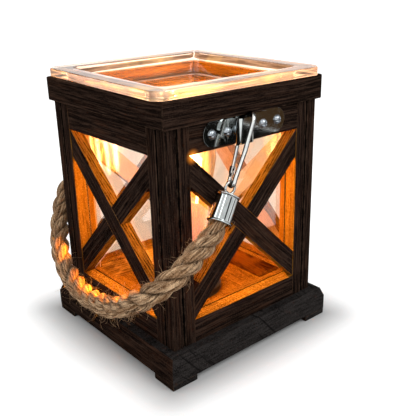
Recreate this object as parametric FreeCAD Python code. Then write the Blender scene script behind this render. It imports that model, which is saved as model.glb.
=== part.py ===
"""Wooden lantern wax warmer: a glass dish warmed by a bulb, with a rope handle on two snap hooks.

Millimetres, +Z up. The origin is the middle of the base, on the surface it stands on.
The front is the -Y side, where the rope handle hangs. The right side is the +X side.
"""
import os
from math import asin, atan2, cos, degrees, pi, radians, sin, sqrt, tan

from FreeCAD import Vector
import Part

# Base board and feet
BASE_LEDGE = 9.0
BASE_THICK = 18.0
BEVEL_RUN = 2.5
BEVEL_DROP = 6.5
FOOT_WIDTH = 21.0
FOOT_HEIGHT = 4.5

# Lantern body: four posts, and a framed window with a crossed brace on each side
BODY_WIDTH = 134.0
BODY_HEIGHT = 151.0
POST_WIDTH = 8.9
STILE_WIDTH = 9.7
TOP_RAIL = 18.8
BOTTOM_RAIL = 17.1
FRAME_DEPTH = 16.0
SEAM = 1.1
BRACE_WIDTH = 14.5
BRACE_RECESS = 0.5
BRACE_THICK = 8.6

# Window panes, each in a slot sawn round its frame
PANE_THICK = 1.6
PANE_PLAY = 0.2
SLOT_SETBACK = 9.4
SLOT_DEPTH = 4.0

# Collar of four mitred boards on top of the body
COLLAR_OVERHANG = 3.0
COLLAR_HEIGHT = 17.0
COLLAR_THICK = 12.0

# Glass dish: a flat rim that lies on the collar and a basin that hangs inside it, a little turned
RIM_LAP = 12.2
RIM_THICK = 6.0
RIM_BAND = 12.5
RIM_CORNER_CUT = 5.8
BASIN_DROP = 13.0
BASIN_FLOOR = 4.0
BASIN_WALL = 2.6
BASIN_TAPER = 3.5
BASIN_PLAY = 2.5
BASIN_CORNER = 9.0
DISH_TURN = -2.0

# Bulb: screw cap, envelope, glass stem and a cage filament
CAP_RADIUS = 13.0
CAP_HEIGHT = 24.0
CAP_WALL = 0.8
THREAD_COUNT = 5
THREAD_DEPTH = 0.6
THREAD_ROOT = 0.2
NECK_RADIUS = 12.0
NECK_HEIGHT = 12.0
GLOBE_RADIUS = 23.0
GLOBE_RISE = 80.0
GLASS_WALL = 0.9
GLASS_IN_CAP = 5.0
STEM_RADIUS = 7.5
STEM_HEIGHT = 26.0
ROD_RADIUS = 1.3
CAGE_RADIUS = 11.5
CAGE_BOTTOM = 45.0
CAGE_HEIGHT = 33.0
CAGE_WIRES = 8
FILAMENT_RADIUS = 0.35
SUPPORT_RADIUS = 0.3
CONTACT_RADIUS = 4.0
CONTACT_HEIGHT = 3.0

# Lamp socket, screwed to the base board
SOCKET_RADIUS = 18.0
SOCKET_HEIGHT = 33.0
SOCKET_FLOOR = 6.0
FLANGE_RADIUS = 25.0
FLANGE_THICK = 5.0
SLEEVE_WALL = 0.6
SLEEVE_PLAY = 0.3
LEAF_THICK = 0.6
SOCKET_SCREW_RADIUS = 1.6
SOCKET_SCREW_LENGTH = 14.0

# Way out of the base for the lead, with its rubber grommet
LEAD_HOLE_RADIUS = 3.5
LEAD_HOLE_HEIGHT = 6.5
GROMMET_FLANGE_RADIUS = 5.0
GROMMET_FLANGE = 1.5
GROMMET_WALL = 1.0
GROMMET_LENGTH = 8.0

# Screws from below that hold the body to the base
BASE_SCREW_RADIUS = 1.8
BASE_SCREW_HEAD = 3.6
BASE_SCREW_LENGTH = 29.0
BASE_SCREW_SHIFT = 30.0

# Bracket on each of the right and left sides: a flat plate and a strap bent out of it
PLATE_THICK = 1.5
PLATE_LENGTH = 72.0
PLATE_HEIGHT = 16.6
PLATE_BELOW_COLLAR = 0.2
PLATE_SHIFT = -2.5
PLATE_SCREW_SPAN = 58.0
STRAP_THICK = 1.5
STRAP_OUT = 8.0
STRAP_WIDTH = 14.6
STRAP_SHIFT = -8.85
STRAP_BEND = 3.4
STRAP_FOOT_HEIGHT = 13.0
STRAP_SCREW_SPAN = 31.4
STRAP_SCREW_SHIFT = -4.0

# Pan head screws of the brackets
SCREW_RADIUS = 1.5
SCREW_LENGTH = 12.0
SCREW_HEAD_RADIUS = 3.2
SCREW_HEAD_HEIGHT = 2.3
CROSS_WIDTH = 0.9
CROSS_LENGTH = 3.6
CROSS_DEPTH = 1.2
HOLE_PLAY = 0.05

# Snap hook of bent wire with a sprung gate
HOOK_WIRE = 1.5
HOOK_LENGTH = 47.4
HOOK_HALF_WIDTH = 5.0
HOOK_EYE = 3.0
HOOK_SHIFT = 1.15
HOOK_LEAN = 22.2
HOOK_TURN = 12.0
HOOK_SIDE = -6.1
HOOK_SEAT_PLAY = 0.5
SHOULDER_DROP = 24.0
SHOULDER_RADIUS = 20.0
EYE_RISE = 6.2
GATE_TOP = 22.0
GATE_PIVOT = 39.2
GATE_RADIUS = 1.2
FORK_LENGTH = 2.85
NOSE_GAP = 0.3
TONGUE_THICK = 1.3
CHEEK_THICK = 0.7
CHEEK_PLAY = 0.1
PIN_RADIUS = 0.45

# Rope handle, its end caps and the ring on each cap
RING_RADIUS = 4.1
RING_WIRE = 1.0
RING_PLAY = 0.2
RING_SINK = 0.5
ROPE_DIAMETER = 12.0
ROPE_PLAY = 0.2
CAP_TUBE_RADIUS = 7.25
CAP_FLANGE_RADIUS = 8.25
CAP_TUBE_LENGTH = 19.3
CAP_FLANGE = 1.5
CAP_END = 9.4
CAP_LEAN_RIGHT = 36.0
CAP_LEAN_LEFT = 45.0
CAP_SPLAY = 10.0
ROPE_STRAIGHT = 32.0
BEND_SHARE = 0.45

# Rope route between its two caps, from right to left
ROPE_ROUTE = [
    (87.0, -57.5, 93.0), (87.0, -74.5, 86.0), (79.5, -91.0, 80.0), (64.5, -102.5, 73.5),
    (45.0, -106.0, 64.0), (23.5, -102.5, 53.5), (1.0, -96.0, 47.5), (-22.5, -92.0, 46.0),
    (-46.0, -95.0, 51.0), (-65.5, -92.5, 59.0), (-79.0, -84.5, 69.5), (-86.0, -73.0, 81.0),
    (-87.0, -60.5, 93.5),
]

# Places worked out from the sizes above
BODY_HALF = BODY_WIDTH / 2
BASE_HALF = BODY_HALF + BASE_LEDGE
COLLAR_HALF = BODY_HALF + COLLAR_OVERHANG
COLLAR_HOLE = COLLAR_HALF - COLLAR_THICK
BOARD_TOP = FOOT_HEIGHT + BASE_THICK
BODY_TOP = BOARD_TOP + BODY_HEIGHT
COLLAR_TOP = BODY_TOP + COLLAR_HEIGHT
POST_EDGE = BODY_HALF - POST_WIDTH
WINDOW_HALF = POST_EDGE - STILE_WIDTH
WINDOW_BOTTOM = BOARD_TOP + BOTTOM_RAIL
WINDOW_TOP = BODY_TOP - TOP_RAIL
SLOT_WIDTH = PANE_THICK + 2 * PANE_PLAY
SIDES = ("front", "right", "back", "left")
CORNERS = ("front_right", "back_right", "back_left", "front_left")
AXIS_Z = Vector(0, 0, 1)
PIERCE = 1.0
SHORTEST_RUN = 1e-6


def box(low, high):
    size = [high[i] - low[i] for i in range(3)]
    return Part.makeBox(size[0], size[1], size[2], Vector(*low))


def prism(points, bottom, top):
    """A closed outline in plan, raised from bottom to top."""
    corners = [Vector(x, y, bottom) for x, y in points]
    face = Part.Face(Part.makePolygon(corners + corners[:1]))
    return face.extrude(Vector(0, 0, top - bottom))


def rod(start, end, radius):
    return Part.makeCylinder(radius, (end - start).Length, start, end - start)


def turned(shape, angle):
    copy = shape.copy()
    copy.rotate(Vector(0, 0, 0), AXIS_Z, angle)
    return copy


def around(names):
    """Each name with its share of a full turn about the Z axis, in degrees."""
    return [(name, 360 * index / len(names)) for index, name in enumerate(names)]


def mirrored(shape):
    """The same piece on the left side of the lantern."""
    return shape.mirror(Vector(0, 0, 0), Vector(1, 0, 0))


def revolved(profile):
    """A closed outline of (radius, height) points turned about the Z axis."""
    corners = [Vector(r, 0, z) for r, z in profile]
    face = Part.Face(Part.makePolygon(corners + corners[:1]))
    return face.revolve(Vector(0, 0, 0), AXIS_Z, 360)


def rounded_square(half, corner, height):
    """A square outline with round corners, as a wire at one height."""
    flat = half - corner
    diagonal = flat + corner / sqrt(2)
    edges = []
    for turn in range(4):
        c, s = [(1, 0), (0, 1), (-1, 0), (0, -1)][turn]
        place = [Vector(c * x - s * y, s * x + c * y, height)
                 for x, y in ((half, -flat), (half, flat), (diagonal, diagonal), (flat, half))]
        edges.append(Part.LineSegment(place[0], place[1]).toShape())
        edges.append(Part.Arc(place[1], place[2], place[3]).toShape())
    return Part.Wire(edges)


def cut_square(half, cut, bottom, top):
    """A square slab with its four corners cut off."""
    flat = half - cut
    points = [(half, -flat), (half, flat), (flat, half), (-flat, half),
              (-half, flat), (-half, -flat), (-flat, -half), (flat, -half)]
    return prism(points, bottom, top)


def rounded_wire(points, radii):
    """Straight runs through the points, joined by arcs of the given radii that touch both runs."""
    edges = []
    last = points[0]
    for before, corner, after, radius in zip(points, points[1:], points[2:], radii):
        came = (corner - before).normalize()
        goes = (after - corner).normalize()
        turn = came.getAngle(goes)
        reach = radius * tan(turn / 2)
        start, end = corner - came * reach, corner + goes * reach
        middle = corner + (goes - came).normalize() * (radius / cos(turn / 2) - radius)
        if (start - last).Length > SHORTEST_RUN:
            edges.append(Part.LineSegment(last, start).toShape())
        edges.append(Part.Arc(start, middle, end).toShape())
        last = end
    edges.append(Part.LineSegment(last, points[-1]).toShape())
    return Part.Wire(edges)


def tube_along(path, start, direction, radius):
    ring = Part.Wire(Part.Circle(start, direction, radius).toShape())
    return path.makePipeShell([ring], True, False)


def base_board():
    """Plinth with a bevelled top edge, the lead's way out and the screw holes from below."""
    shoulder = BOARD_TOP - BEVEL_DROP
    board = box((-BASE_HALF, -BASE_HALF, FOOT_HEIGHT), (BASE_HALF, BASE_HALF, shoulder))
    wires = []
    for half, height in ((BASE_HALF, shoulder), (BASE_HALF - BEVEL_RUN, BOARD_TOP)):
        corners = [Vector(x * half, y * half, height) for x, y in ((-1, -1), (1, -1), (1, 1), (-1, 1))]
        wires.append(Part.makePolygon(corners + corners[:1]))
    board = board.fuse(Part.makeLoft(wires, True, True)).removeSplitter()
    lead = FOOT_HEIGHT + LEAD_HOLE_HEIGHT
    back = Vector(0, BASE_HALF, lead)
    board = board.cut(rod(Vector(0, 0, lead), back + Vector(0, PIERCE, 0), LEAD_HOLE_RADIUS))
    board = board.cut(rod(back - Vector(0, GROMMET_FLANGE, 0), back + Vector(0, PIERCE, 0),
                          GROMMET_FLANGE_RADIUS))
    board = board.cut(rod(Vector(0, 0, lead), Vector(0, 0, BOARD_TOP + PIERCE), LEAD_HOLE_RADIUS))
    for place in base_screw_places():
        board = board.cut(base_screw(place, HOLE_PLAY))
    for place in socket_screw_places():
        top = place + Vector(0, 0, FLANGE_THICK)
        board = board.cut(rod(top - Vector(0, 0, SOCKET_SCREW_LENGTH), top, SOCKET_SCREW_RADIUS + HOLE_PLAY))
    return board


def feet():
    blocks = []
    for x in (-BASE_HALF, BASE_HALF - FOOT_WIDTH):
        for y in (-BASE_HALF, BASE_HALF - FOOT_WIDTH):
            blocks.append(box((x, y, 0), (x + FOOT_WIDTH, y + FOOT_WIDTH, FOOT_HEIGHT)))
    return Part.makeCompound(blocks)


def base_screw_places():
    """One screw under each side's bottom rail, to one side of the middle."""
    reach, shift = BODY_HALF - SLOT_SETBACK / 2 - BASE_SCREW_RADIUS, BASE_SCREW_SHIFT
    return [Vector(reach, shift, FOOT_HEIGHT), Vector(-shift, reach, FOOT_HEIGHT),
            Vector(-reach, -shift, FOOT_HEIGHT), Vector(shift, -reach, FOOT_HEIGHT)]


def base_screw(place, play=0.0):
    """Countersunk screw whose head is flush with the underside of the board."""
    head = BASE_SCREW_HEAD + play
    shank = BASE_SCREW_RADIUS + play
    cone = Part.makeCone(head, shank, BASE_SCREW_HEAD - BASE_SCREW_RADIUS, place, AXIS_Z)
    return cone.fuse(Part.makeCylinder(shank, BASE_SCREW_LENGTH + play, place, AXIS_Z)).removeSplitter()


def mitred(shape):
    """Keeps a side's part inside the 45 degree planes that it shares with the next sides."""
    far = 4 * BASE_HALF
    wedge = prism([(0, 0), (far, -far), (far, far), (-far, far), (-far, -far)], -far, far)
    return shape.cut(wedge)


def seam_groove(place):
    """Small V groove down the joint between a post and a stile on the front."""
    points = [(place - SEAM, -BODY_HALF - SEAM), (place - SEAM, -BODY_HALF), (place, -BODY_HALF + SEAM),
              (place + SEAM, -BODY_HALF), (place + SEAM, -BODY_HALF - SEAM)]
    return prism(points, BOARD_TOP - PIERCE, BODY_TOP + PIERCE)


def window_slot():
    """The slot sawn round the front window for its pane."""
    reach = WINDOW_HALF + SLOT_DEPTH
    face = -BODY_HALF + SLOT_SETBACK
    return box((-reach, face, WINDOW_BOTTOM - SLOT_DEPTH),
               (reach, face + SLOT_WIDTH, WINDOW_TOP + SLOT_DEPTH))


def post():
    square = box((POST_EDGE, -BODY_HALF, BOARD_TOP), (BODY_HALF, -POST_EDGE, BODY_TOP))
    groove = seam_groove(POST_EDGE)
    other = turned(seam_groove(-POST_EDGE), 90)
    return square.cut(groove).cut(other)


def stiles():
    pair = []
    for left, right in ((-POST_EDGE, -WINDOW_HALF), (WINDOW_HALF, POST_EDGE)):
        upright = box((left, -BODY_HALF, BOARD_TOP), (right, -BODY_HALF + FRAME_DEPTH, BODY_TOP))
        upright = mitred(upright).cut(window_slot())
        pair.append(upright.cut(seam_groove(-POST_EDGE)).cut(seam_groove(POST_EDGE)).Solids[0])
    return Part.makeCompound(pair)


def rail(bottom, top):
    bar = box((-WINDOW_HALF, -BODY_HALF, bottom), (WINDOW_HALF, -BODY_HALF + FRAME_DEPTH, top))
    return mitred(bar).cut(window_slot())


def brace_strip(rising):
    """Slanted board across the window, from corner to corner, before it is trimmed."""
    width, height = 2 * WINDOW_HALF, WINDOW_TOP - WINDOW_BOTTOM
    diagonal = sqrt(width ** 2 + height ** 2)
    slope = degrees(atan2(height, width) - asin(BRACE_WIDTH / diagonal))
    board = box((-diagonal, -BODY_HALF + BRACE_RECESS, -BRACE_WIDTH / 2),
                (diagonal, -BODY_HALF + BRACE_RECESS + BRACE_THICK, BRACE_WIDTH / 2))
    board.rotate(Vector(0, 0, 0), Vector(0, 1, 0), -slope if rising else slope)
    board.translate(Vector(0, 0, (WINDOW_TOP + WINDOW_BOTTOM) / 2))
    return board


def window_space():
    return box((-WINDOW_HALF, -BODY_HALF, WINDOW_BOTTOM), (WINDOW_HALF, 0, WINDOW_TOP))


def brace_long():
    return brace_strip(False).common(window_space())


def brace_short():
    """The other board, cut in two where the long one crosses it."""
    return brace_strip(True).common(window_space()).cut(brace_strip(False))


def pane():
    reach = WINDOW_HALF + SLOT_DEPTH - PANE_PLAY
    face = -BODY_HALF + SLOT_SETBACK + PANE_PLAY
    return box((-reach, face, WINDOW_BOTTOM - SLOT_DEPTH),
               (reach, face + PANE_THICK, WINDOW_TOP + SLOT_DEPTH - PANE_PLAY))


def collar_board():
    outer, inner = COLLAR_HALF, COLLAR_HOLE
    points = [(-outer, -outer), (outer, -outer), (inner, -inner), (-inner, -inner)]
    return prism(points, BODY_TOP, COLLAR_TOP)


def dish():
    """Square glass dish: rim on the collar, and a tapered basin with a flared mouth inside it."""
    rim_top = COLLAR_TOP + RIM_THICK
    floor_low = COLLAR_TOP - BASIN_DROP
    rim_half = COLLAR_HOLE + RIM_LAP
    outer_top = COLLAR_HOLE - BASIN_PLAY
    outer_low = outer_top - BASIN_TAPER
    corner = BASIN_CORNER - BASIN_WALL
    rim = cut_square(rim_half, RIM_CORNER_CUT, COLLAR_TOP, rim_top)
    basin = Part.makeLoft([rounded_square(outer_low, BASIN_CORNER, floor_low),
                           rounded_square(outer_top, BASIN_CORNER, COLLAR_TOP)], True, True)
    throat = rounded_square(outer_top - BASIN_WALL, corner, COLLAR_TOP)
    floor = rounded_square(outer_low - BASIN_WALL, corner, floor_low + BASIN_FLOOR)
    mouth = rounded_square(rim_half - RIM_BAND, corner, rim_top)
    hollow = Part.makeLoft([floor, throat], True, True).fuse(Part.makeLoft([throat, mouth], True, True))
    return turned(rim.fuse(basin).cut(hollow).removeSplitter(), DISH_TURN)


CONTACT_LOW = BOARD_TOP + SOCKET_FLOOR + LEAF_THICK
CAP_LOW = CONTACT_LOW + CONTACT_HEIGHT
CAP_TOP = CAP_LOW + CAP_HEIGHT


def socket_screw_places():
    reach = (SOCKET_RADIUS + FLANGE_RADIUS) / 2
    return [Vector(reach, 0, BOARD_TOP), Vector(-reach, 0, BOARD_TOP)]


def socket_body():
    """Moulded cup on a round flange, open at the top."""
    flange = Part.makeCylinder(FLANGE_RADIUS, FLANGE_THICK, Vector(0, 0, BOARD_TOP))
    cup = Part.makeCylinder(SOCKET_RADIUS, SOCKET_HEIGHT, Vector(0, 0, BOARD_TOP))
    body = flange.fuse(cup).removeSplitter()
    bore = CAP_RADIUS + SLEEVE_PLAY + SLEEVE_WALL
    floor = Vector(0, 0, BOARD_TOP + SOCKET_FLOOR)
    body = body.cut(Part.makeCylinder(bore, SOCKET_HEIGHT, floor))
    for place in socket_screw_places():
        body = body.cut(rod(place, place + Vector(0, 0, FLANGE_THICK), SOCKET_SCREW_RADIUS + HOLE_PLAY))
    return body


def socket_sleeve():
    """Brass sleeve that the bulb's cap screws into."""
    inner = CAP_RADIUS + SLEEVE_PLAY
    floor = BOARD_TOP + SOCKET_FLOOR
    tall = SOCKET_HEIGHT - SOCKET_FLOOR
    outer = Part.makeCylinder(inner + SLEEVE_WALL, tall, Vector(0, 0, floor))
    return outer.cut(Part.makeCylinder(inner, tall, Vector(0, 0, floor)))


def socket_contact():
    low = Vector(0, 0, BOARD_TOP + SOCKET_FLOOR)
    return Part.makeCylinder(CONTACT_RADIUS + LEAF_THICK, LEAF_THICK, low)


def socket_screws():
    screws = []
    for place in socket_screw_places():
        top = place + Vector(0, 0, FLANGE_THICK)
        shank = rod(top - Vector(0, 0, SOCKET_SCREW_LENGTH), top, SOCKET_SCREW_RADIUS)
        head = Part.makeCylinder(2 * SOCKET_SCREW_RADIUS, SOCKET_SCREW_RADIUS, top)
        screws.append(shank.fuse(head).removeSplitter())
    return Part.makeCompound(screws)


def bulb_cap():
    """Screw cap with rolled thread rings outside and a thin wall."""
    outer = [(0, CAP_LOW), (CAP_RADIUS - 2 * THREAD_DEPTH, CAP_LOW)]
    pitch = (CAP_HEIGHT - GLASS_IN_CAP) / THREAD_COUNT
    for turn in range(THREAD_COUNT):
        low = CAP_LOW + turn * pitch
        outer.append((CAP_RADIUS - THREAD_DEPTH, low + THREAD_ROOT * pitch))
        outer.append((CAP_RADIUS, low + pitch / 2))
        outer.append((CAP_RADIUS - THREAD_DEPTH, low + (1 - THREAD_ROOT) * pitch))
    inner = CAP_RADIUS - THREAD_DEPTH - CAP_WALL
    collar = CAP_RADIUS - THREAD_DEPTH / 2
    seat = CAP_TOP - GLASS_IN_CAP
    outer += [(collar, seat), (collar, CAP_TOP)]
    outer += [(NECK_RADIUS, CAP_TOP), (NECK_RADIUS, seat), (inner - CAP_WALL, seat),
              (inner - CAP_WALL, CAP_LOW + CAP_WALL), (0, CAP_LOW + CAP_WALL)]
    return revolved(outer)


def globe_solid(shrink, rim_drop):
    """Neck, cone that touches the globe, and the globe, all moved in by shrink."""
    rim = CAP_TOP - GLASS_IN_CAP
    neck = NECK_RADIUS - shrink
    radius = GLOBE_RADIUS - shrink
    centre = rim + GLOBE_RISE
    shoulder = rim + NECK_HEIGHT
    gap = centre - shoulder
    slant = asin(radius / sqrt(neck ** 2 + gap ** 2)) - atan2(neck, gap)
    touch = Vector(radius * cos(slant), 0, centre - radius * sin(slant))
    away = pi / 2 + slant
    middle = Vector(radius * sin(away / 2), 0, centre + radius * cos(away / 2))
    top = Vector(0, 0, centre + radius)
    low = rim - rim_drop
    points = [Vector(0, 0, low), Vector(neck, 0, low), Vector(neck, 0, shoulder), touch]
    edges = [Part.LineSegment(a, b).toShape() for a, b in zip(points, points[1:])]
    edges.append(Part.Arc(touch, middle, top).toShape())
    edges.append(Part.LineSegment(top, points[0]).toShape())
    return Part.Face(Part.Wire(edges)).revolve(Vector(0, 0, 0), AXIS_Z, 360)


def bulb_glass():
    """Thin envelope, open at the neck rim where it sits in the cap."""
    return globe_solid(0.0, 0.0).cut(globe_solid(GLASS_WALL, PIERCE))


STEM_LOW = CAP_TOP - GLASS_IN_CAP
CAGE_LOW = STEM_LOW + CAGE_BOTTOM
CAGE_HIGH = CAGE_LOW + CAGE_HEIGHT


def bulb_stem():
    """Flared glass foot in the neck, drawn up into a thin rod."""
    neck = NECK_RADIUS - GLASS_WALL
    waist = STEM_LOW + STEM_HEIGHT
    profile = [(0, STEM_LOW), (neck, STEM_LOW), (neck, STEM_LOW + GLASS_WALL),
               (STEM_RADIUS, STEM_LOW + 4 * GLASS_WALL), (STEM_RADIUS / 2, waist),
               (ROD_RADIUS, waist + STEM_RADIUS / 2),
               (ROD_RADIUS, CAGE_HIGH), (2 * ROD_RADIUS, CAGE_HIGH + ROD_RADIUS),
               (ROD_RADIUS, CAGE_HIGH + 3 * ROD_RADIUS), (0, CAGE_HIGH + 3 * ROD_RADIUS)]
    return revolved(profile)


def cage_point(index, height):
    angle = 2 * pi * index / CAGE_WIRES
    return Vector(CAGE_RADIUS * cos(angle), CAGE_RADIUS * sin(angle), height)


def bulb_filament():
    """One wire that runs up and down the cage, each run a little off upright."""
    wire = None
    for index in range(CAGE_WIRES - 1):
        low, high = cage_point(index, CAGE_LOW), cage_point(index + 1, CAGE_HIGH)
        if index % 2:
            low, high = cage_point(index, CAGE_HIGH), cage_point(index + 1, CAGE_LOW)
        run = rod(low, high, FILAMENT_RADIUS).fuse(Part.makeSphere(FILAMENT_RADIUS, high))
        wire = run if wire is None else wire.fuse(run)
    return wire.removeSplitter()


def bulb_supports():
    """Fine wires from the rod's two ends to the turns of the filament."""
    wires = []
    for index in range(CAGE_WIRES):
        top = index % 2 == 1
        height = CAGE_HIGH if top else CAGE_LOW
        start = Vector(0, 0, height)
        inward = cage_point(index, height) - start
        reach = inward.Length - FILAMENT_RADIUS - SUPPORT_RADIUS
        inward.normalize()
        wires.append(rod(start + inward * ROD_RADIUS, start + inward * reach, SUPPORT_RADIUS))
    return Part.makeCompound([wire.cut(bulb_stem()).Solids[0] for wire in wires])


def bulb_contact():
    """Insulating button under the cap with its rounded contact."""
    profile = [(0, CONTACT_LOW), (CONTACT_RADIUS, CONTACT_LOW), (CONTACT_RADIUS, CONTACT_LOW + LEAF_THICK),
               (CAP_RADIUS - 2 * THREAD_DEPTH, CAP_LOW), (0, CAP_LOW)]
    return revolved(profile)


def cord_grommet():
    """Rubber ring in the back edge of the base board."""
    back = Vector(0, BASE_HALF, FOOT_HEIGHT + LEAD_HOLE_HEIGHT)
    inside = back - Vector(0, GROMMET_FLANGE, 0)
    ring = rod(inside, back, GROMMET_FLANGE_RADIUS)
    ring = ring.fuse(rod(back - Vector(0, GROMMET_LENGTH, 0), back, LEAD_HOLE_RADIUS))
    hole = rod(back - Vector(0, GROMMET_LENGTH, 0), back, LEAD_HOLE_RADIUS - GROMMET_WALL)
    return ring.cut(hole).removeSplitter()


# Bracket heights and distances out from the middle
PLATE_TOP = BODY_TOP - PLATE_BELOW_COLLAR
PLATE_LOW = PLATE_TOP - PLATE_HEIGHT
PLATE_MIDDLE = (PLATE_TOP + PLATE_LOW) / 2
PLATE_FACE = BODY_HALF + PLATE_THICK
STRAP_FACE = PLATE_FACE + STRAP_THICK


def stadium(x, length_from, length_to, height, thick):
    """Flat bar with round ends, lying on a face at x, flush with the top of the plate."""
    radius = height / 2
    middle = PLATE_TOP - radius
    bar = box((x, length_from + radius, middle - radius), (x + thick, length_to - radius, PLATE_TOP))
    for y in (length_from + radius, length_to - radius):
        bar = bar.fuse(Part.makeCylinder(radius, thick, Vector(x, y, middle), Vector(1, 0, 0)))
    return bar.removeSplitter()


def plate_screw_places():
    half = PLATE_SCREW_SPAN / 2
    return [Vector(PLATE_FACE, PLATE_SHIFT + reach, PLATE_MIDDLE) for reach in (-half, half)]


def strap_screw_places():
    half = STRAP_SCREW_SPAN / 2
    return [Vector(STRAP_FACE, STRAP_SCREW_SHIFT + reach, PLATE_MIDDLE) for reach in (-half, half)]


def drilled(shape):
    """Cuts the holes of all four bracket screws through a piece of the right side."""
    for place in plate_screw_places() + strap_screw_places():
        inner = place - Vector(SCREW_LENGTH + HOLE_PLAY, 0, 0)
        shape = shape.cut(rod(inner, place + Vector(PIERCE, 0, 0), SCREW_RADIUS + HOLE_PLAY))
    return shape


def bracket_plate():
    ends = [PLATE_SHIFT - PLATE_LENGTH / 2, PLATE_SHIFT + PLATE_LENGTH / 2]
    return drilled(stadium(BODY_HALF, ends[0], ends[1], PLATE_HEIGHT, PLATE_THICK))


def strap_outline(offset, inset):
    """Half round-cornered bridge of the strap in plan, grown by offset."""
    low, high = STRAP_SHIFT - STRAP_WIDTH / 2 - offset, STRAP_SHIFT + STRAP_WIDTH / 2 + offset
    top = PLATE_FACE + STRAP_OUT + offset
    bend = STRAP_BEND + offset
    flat = bend - bend / sqrt(2)
    place = [Vector(PLATE_FACE - inset, low, PLATE_LOW), Vector(top - bend, low, PLATE_LOW),
             Vector(top - flat, low + flat, PLATE_LOW), Vector(top, low + bend, PLATE_LOW),
             Vector(top, high - bend, PLATE_LOW), Vector(top - flat, high - flat, PLATE_LOW),
             Vector(top - bend, high, PLATE_LOW), Vector(PLATE_FACE - inset, high, PLATE_LOW)]
    edges = [Part.LineSegment(place[0], place[1]).toShape(), Part.Arc(*place[1:4]).toShape(),
             Part.LineSegment(place[3], place[4]).toShape(), Part.Arc(*place[4:7]).toShape(),
             Part.LineSegment(place[6], place[7]).toShape(), Part.LineSegment(place[7], place[0]).toShape()]
    return Part.Face(Part.Wire(edges))


def strap_loop():
    """Strap bent out into a bridge that the hook hangs on, with two round-ended feet."""
    up = Vector(0, 0, PLATE_HEIGHT)
    bridge = strap_outline(0.0, 0.0).extrude(up)
    hollow = strap_outline(-STRAP_THICK, PIERCE).extrude(up)
    radius = STRAP_FOOT_HEIGHT / 2
    ends = [place.y for place in strap_screw_places()]
    foot = stadium(PLATE_FACE, ends[0] - radius, ends[1] + radius, STRAP_FOOT_HEIGHT, STRAP_THICK)
    return drilled(bridge.fuse(foot).cut(hollow)).removeSplitter()


def pan_screw(place):
    """Pan head screw with a cross recess, its head seated at the place, pointing in."""
    out = Vector(1, 0, 0)
    dome = SCREW_HEAD_HEIGHT
    sphere = (SCREW_HEAD_RADIUS ** 2 + dome ** 2) / (2 * dome)
    head = Part.makeSphere(sphere, place + out * (dome - sphere))
    head = head.common(Part.makeCylinder(SCREW_HEAD_RADIUS, dome, place, out))
    shank = rod(place - out * SCREW_LENGTH, place + out * (dome / 2), SCREW_RADIUS)
    screw = head.fuse(shank).removeSplitter()
    for across, up in ((CROSS_LENGTH, CROSS_WIDTH), (CROSS_WIDTH, CROSS_LENGTH)):
        low = place + Vector(dome - CROSS_DEPTH, -across / 2, -up / 2)
        screw = screw.cut(box(low, low + Vector(CROSS_DEPTH + PIERCE, across, up)))
    return screw


def bracket_screws():
    right = [pan_screw(place) for place in plate_screw_places() + strap_screw_places()]
    return Part.makeCompound(right + [mirrored(screw) for screw in right])


# Snap hook: measured across its plane, along its length and square to its plane
STRAP_MIDDLE = PLATE_FACE + STRAP_OUT - STRAP_THICK / 2
BOW_OFFSET = HOOK_SHIFT + STRAP_THICK / 2
BOW_DROP = HOOK_HALF_WIDTH - sqrt(HOOK_HALF_WIDTH ** 2 - BOW_OFFSET ** 2)
HOOK_TOP = Vector(STRAP_MIDDLE + HOOK_SHIFT, HOOK_SIDE, PLATE_TOP + HOOK_WIRE + BOW_DROP + HOOK_SEAT_PLAY)
HOOK_DOWN = Vector(0, -sin(radians(HOOK_LEAN)), -cos(radians(HOOK_LEAN)))
HOOK_ACROSS = (Vector(1, 0, 0) * cos(radians(HOOK_TURN))
               + HOOK_DOWN.cross(Vector(1, 0, 0)) * sin(radians(HOOK_TURN)))
HOOK_NORMAL = HOOK_ACROSS.cross(HOOK_DOWN)
RING_CENTRE = HOOK_TOP + HOOK_DOWN * (HOOK_LENGTH + RING_RADIUS - RING_WIRE - HOOK_WIRE - RING_PLAY)


def on_hook(across, along, off=0.0):
    return HOOK_TOP + HOOK_ACROSS * across + HOOK_DOWN * along + HOOK_NORMAL * off


def tongue_space():
    """Room beside the flattened end of the wire where the gate's cheeks turn."""
    parts = []
    for side in (-1, 1):
        middle = on_hook(-HOOK_EYE, GATE_PIVOT, side * (TONGUE_THICK / 2 + HOOK_WIRE))
        low = middle - HOOK_NORMAL * HOOK_WIRE
        parts.append(Part.makeCylinder(2 * HOOK_WIRE, 2 * HOOK_WIRE, low, HOOK_NORMAL))
    return parts


def gate_pin():
    half = TONGUE_THICK / 2 + CHEEK_PLAY + CHEEK_THICK
    return rod(on_hook(-HOOK_EYE, GATE_PIVOT, -half), on_hook(-HOOK_EYE, GATE_PIVOT, half), PIN_RADIUS)


def hook():
    """Bent wire from the nose, over the bow, down the back and round the eye to the gate's pivot."""
    half, eye = HOOK_HALF_WIDTH, HOOK_EYE
    nose = GATE_TOP - GATE_RADIUS - NOSE_GAP
    corners = [(-half, nose), (-half, 0), (half, 0), (half, SHOULDER_DROP), (eye, HOOK_LENGTH - EYE_RISE),
               (eye, HOOK_LENGTH), (-eye, HOOK_LENGTH), (-eye, GATE_PIVOT - HOOK_WIRE)]
    points = [on_hook(*corner) for corner in corners]
    path = rounded_wire(points, [half, half, SHOULDER_RADIUS, SHOULDER_RADIUS, eye, eye])
    wire = tube_along(path, points[0], points[1] - points[0], HOOK_WIRE)
    for space in tongue_space():
        wire = wire.cut(space)
    return Part.makeCompound([wire.cut(gate_hole()), gate_pin()])


def gate_hole():
    far = 2 * HOOK_WIRE
    return rod(on_hook(-HOOK_EYE, GATE_PIVOT, -far), on_hook(-HOOK_EYE, GATE_PIVOT, far), PIN_RADIUS)


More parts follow.
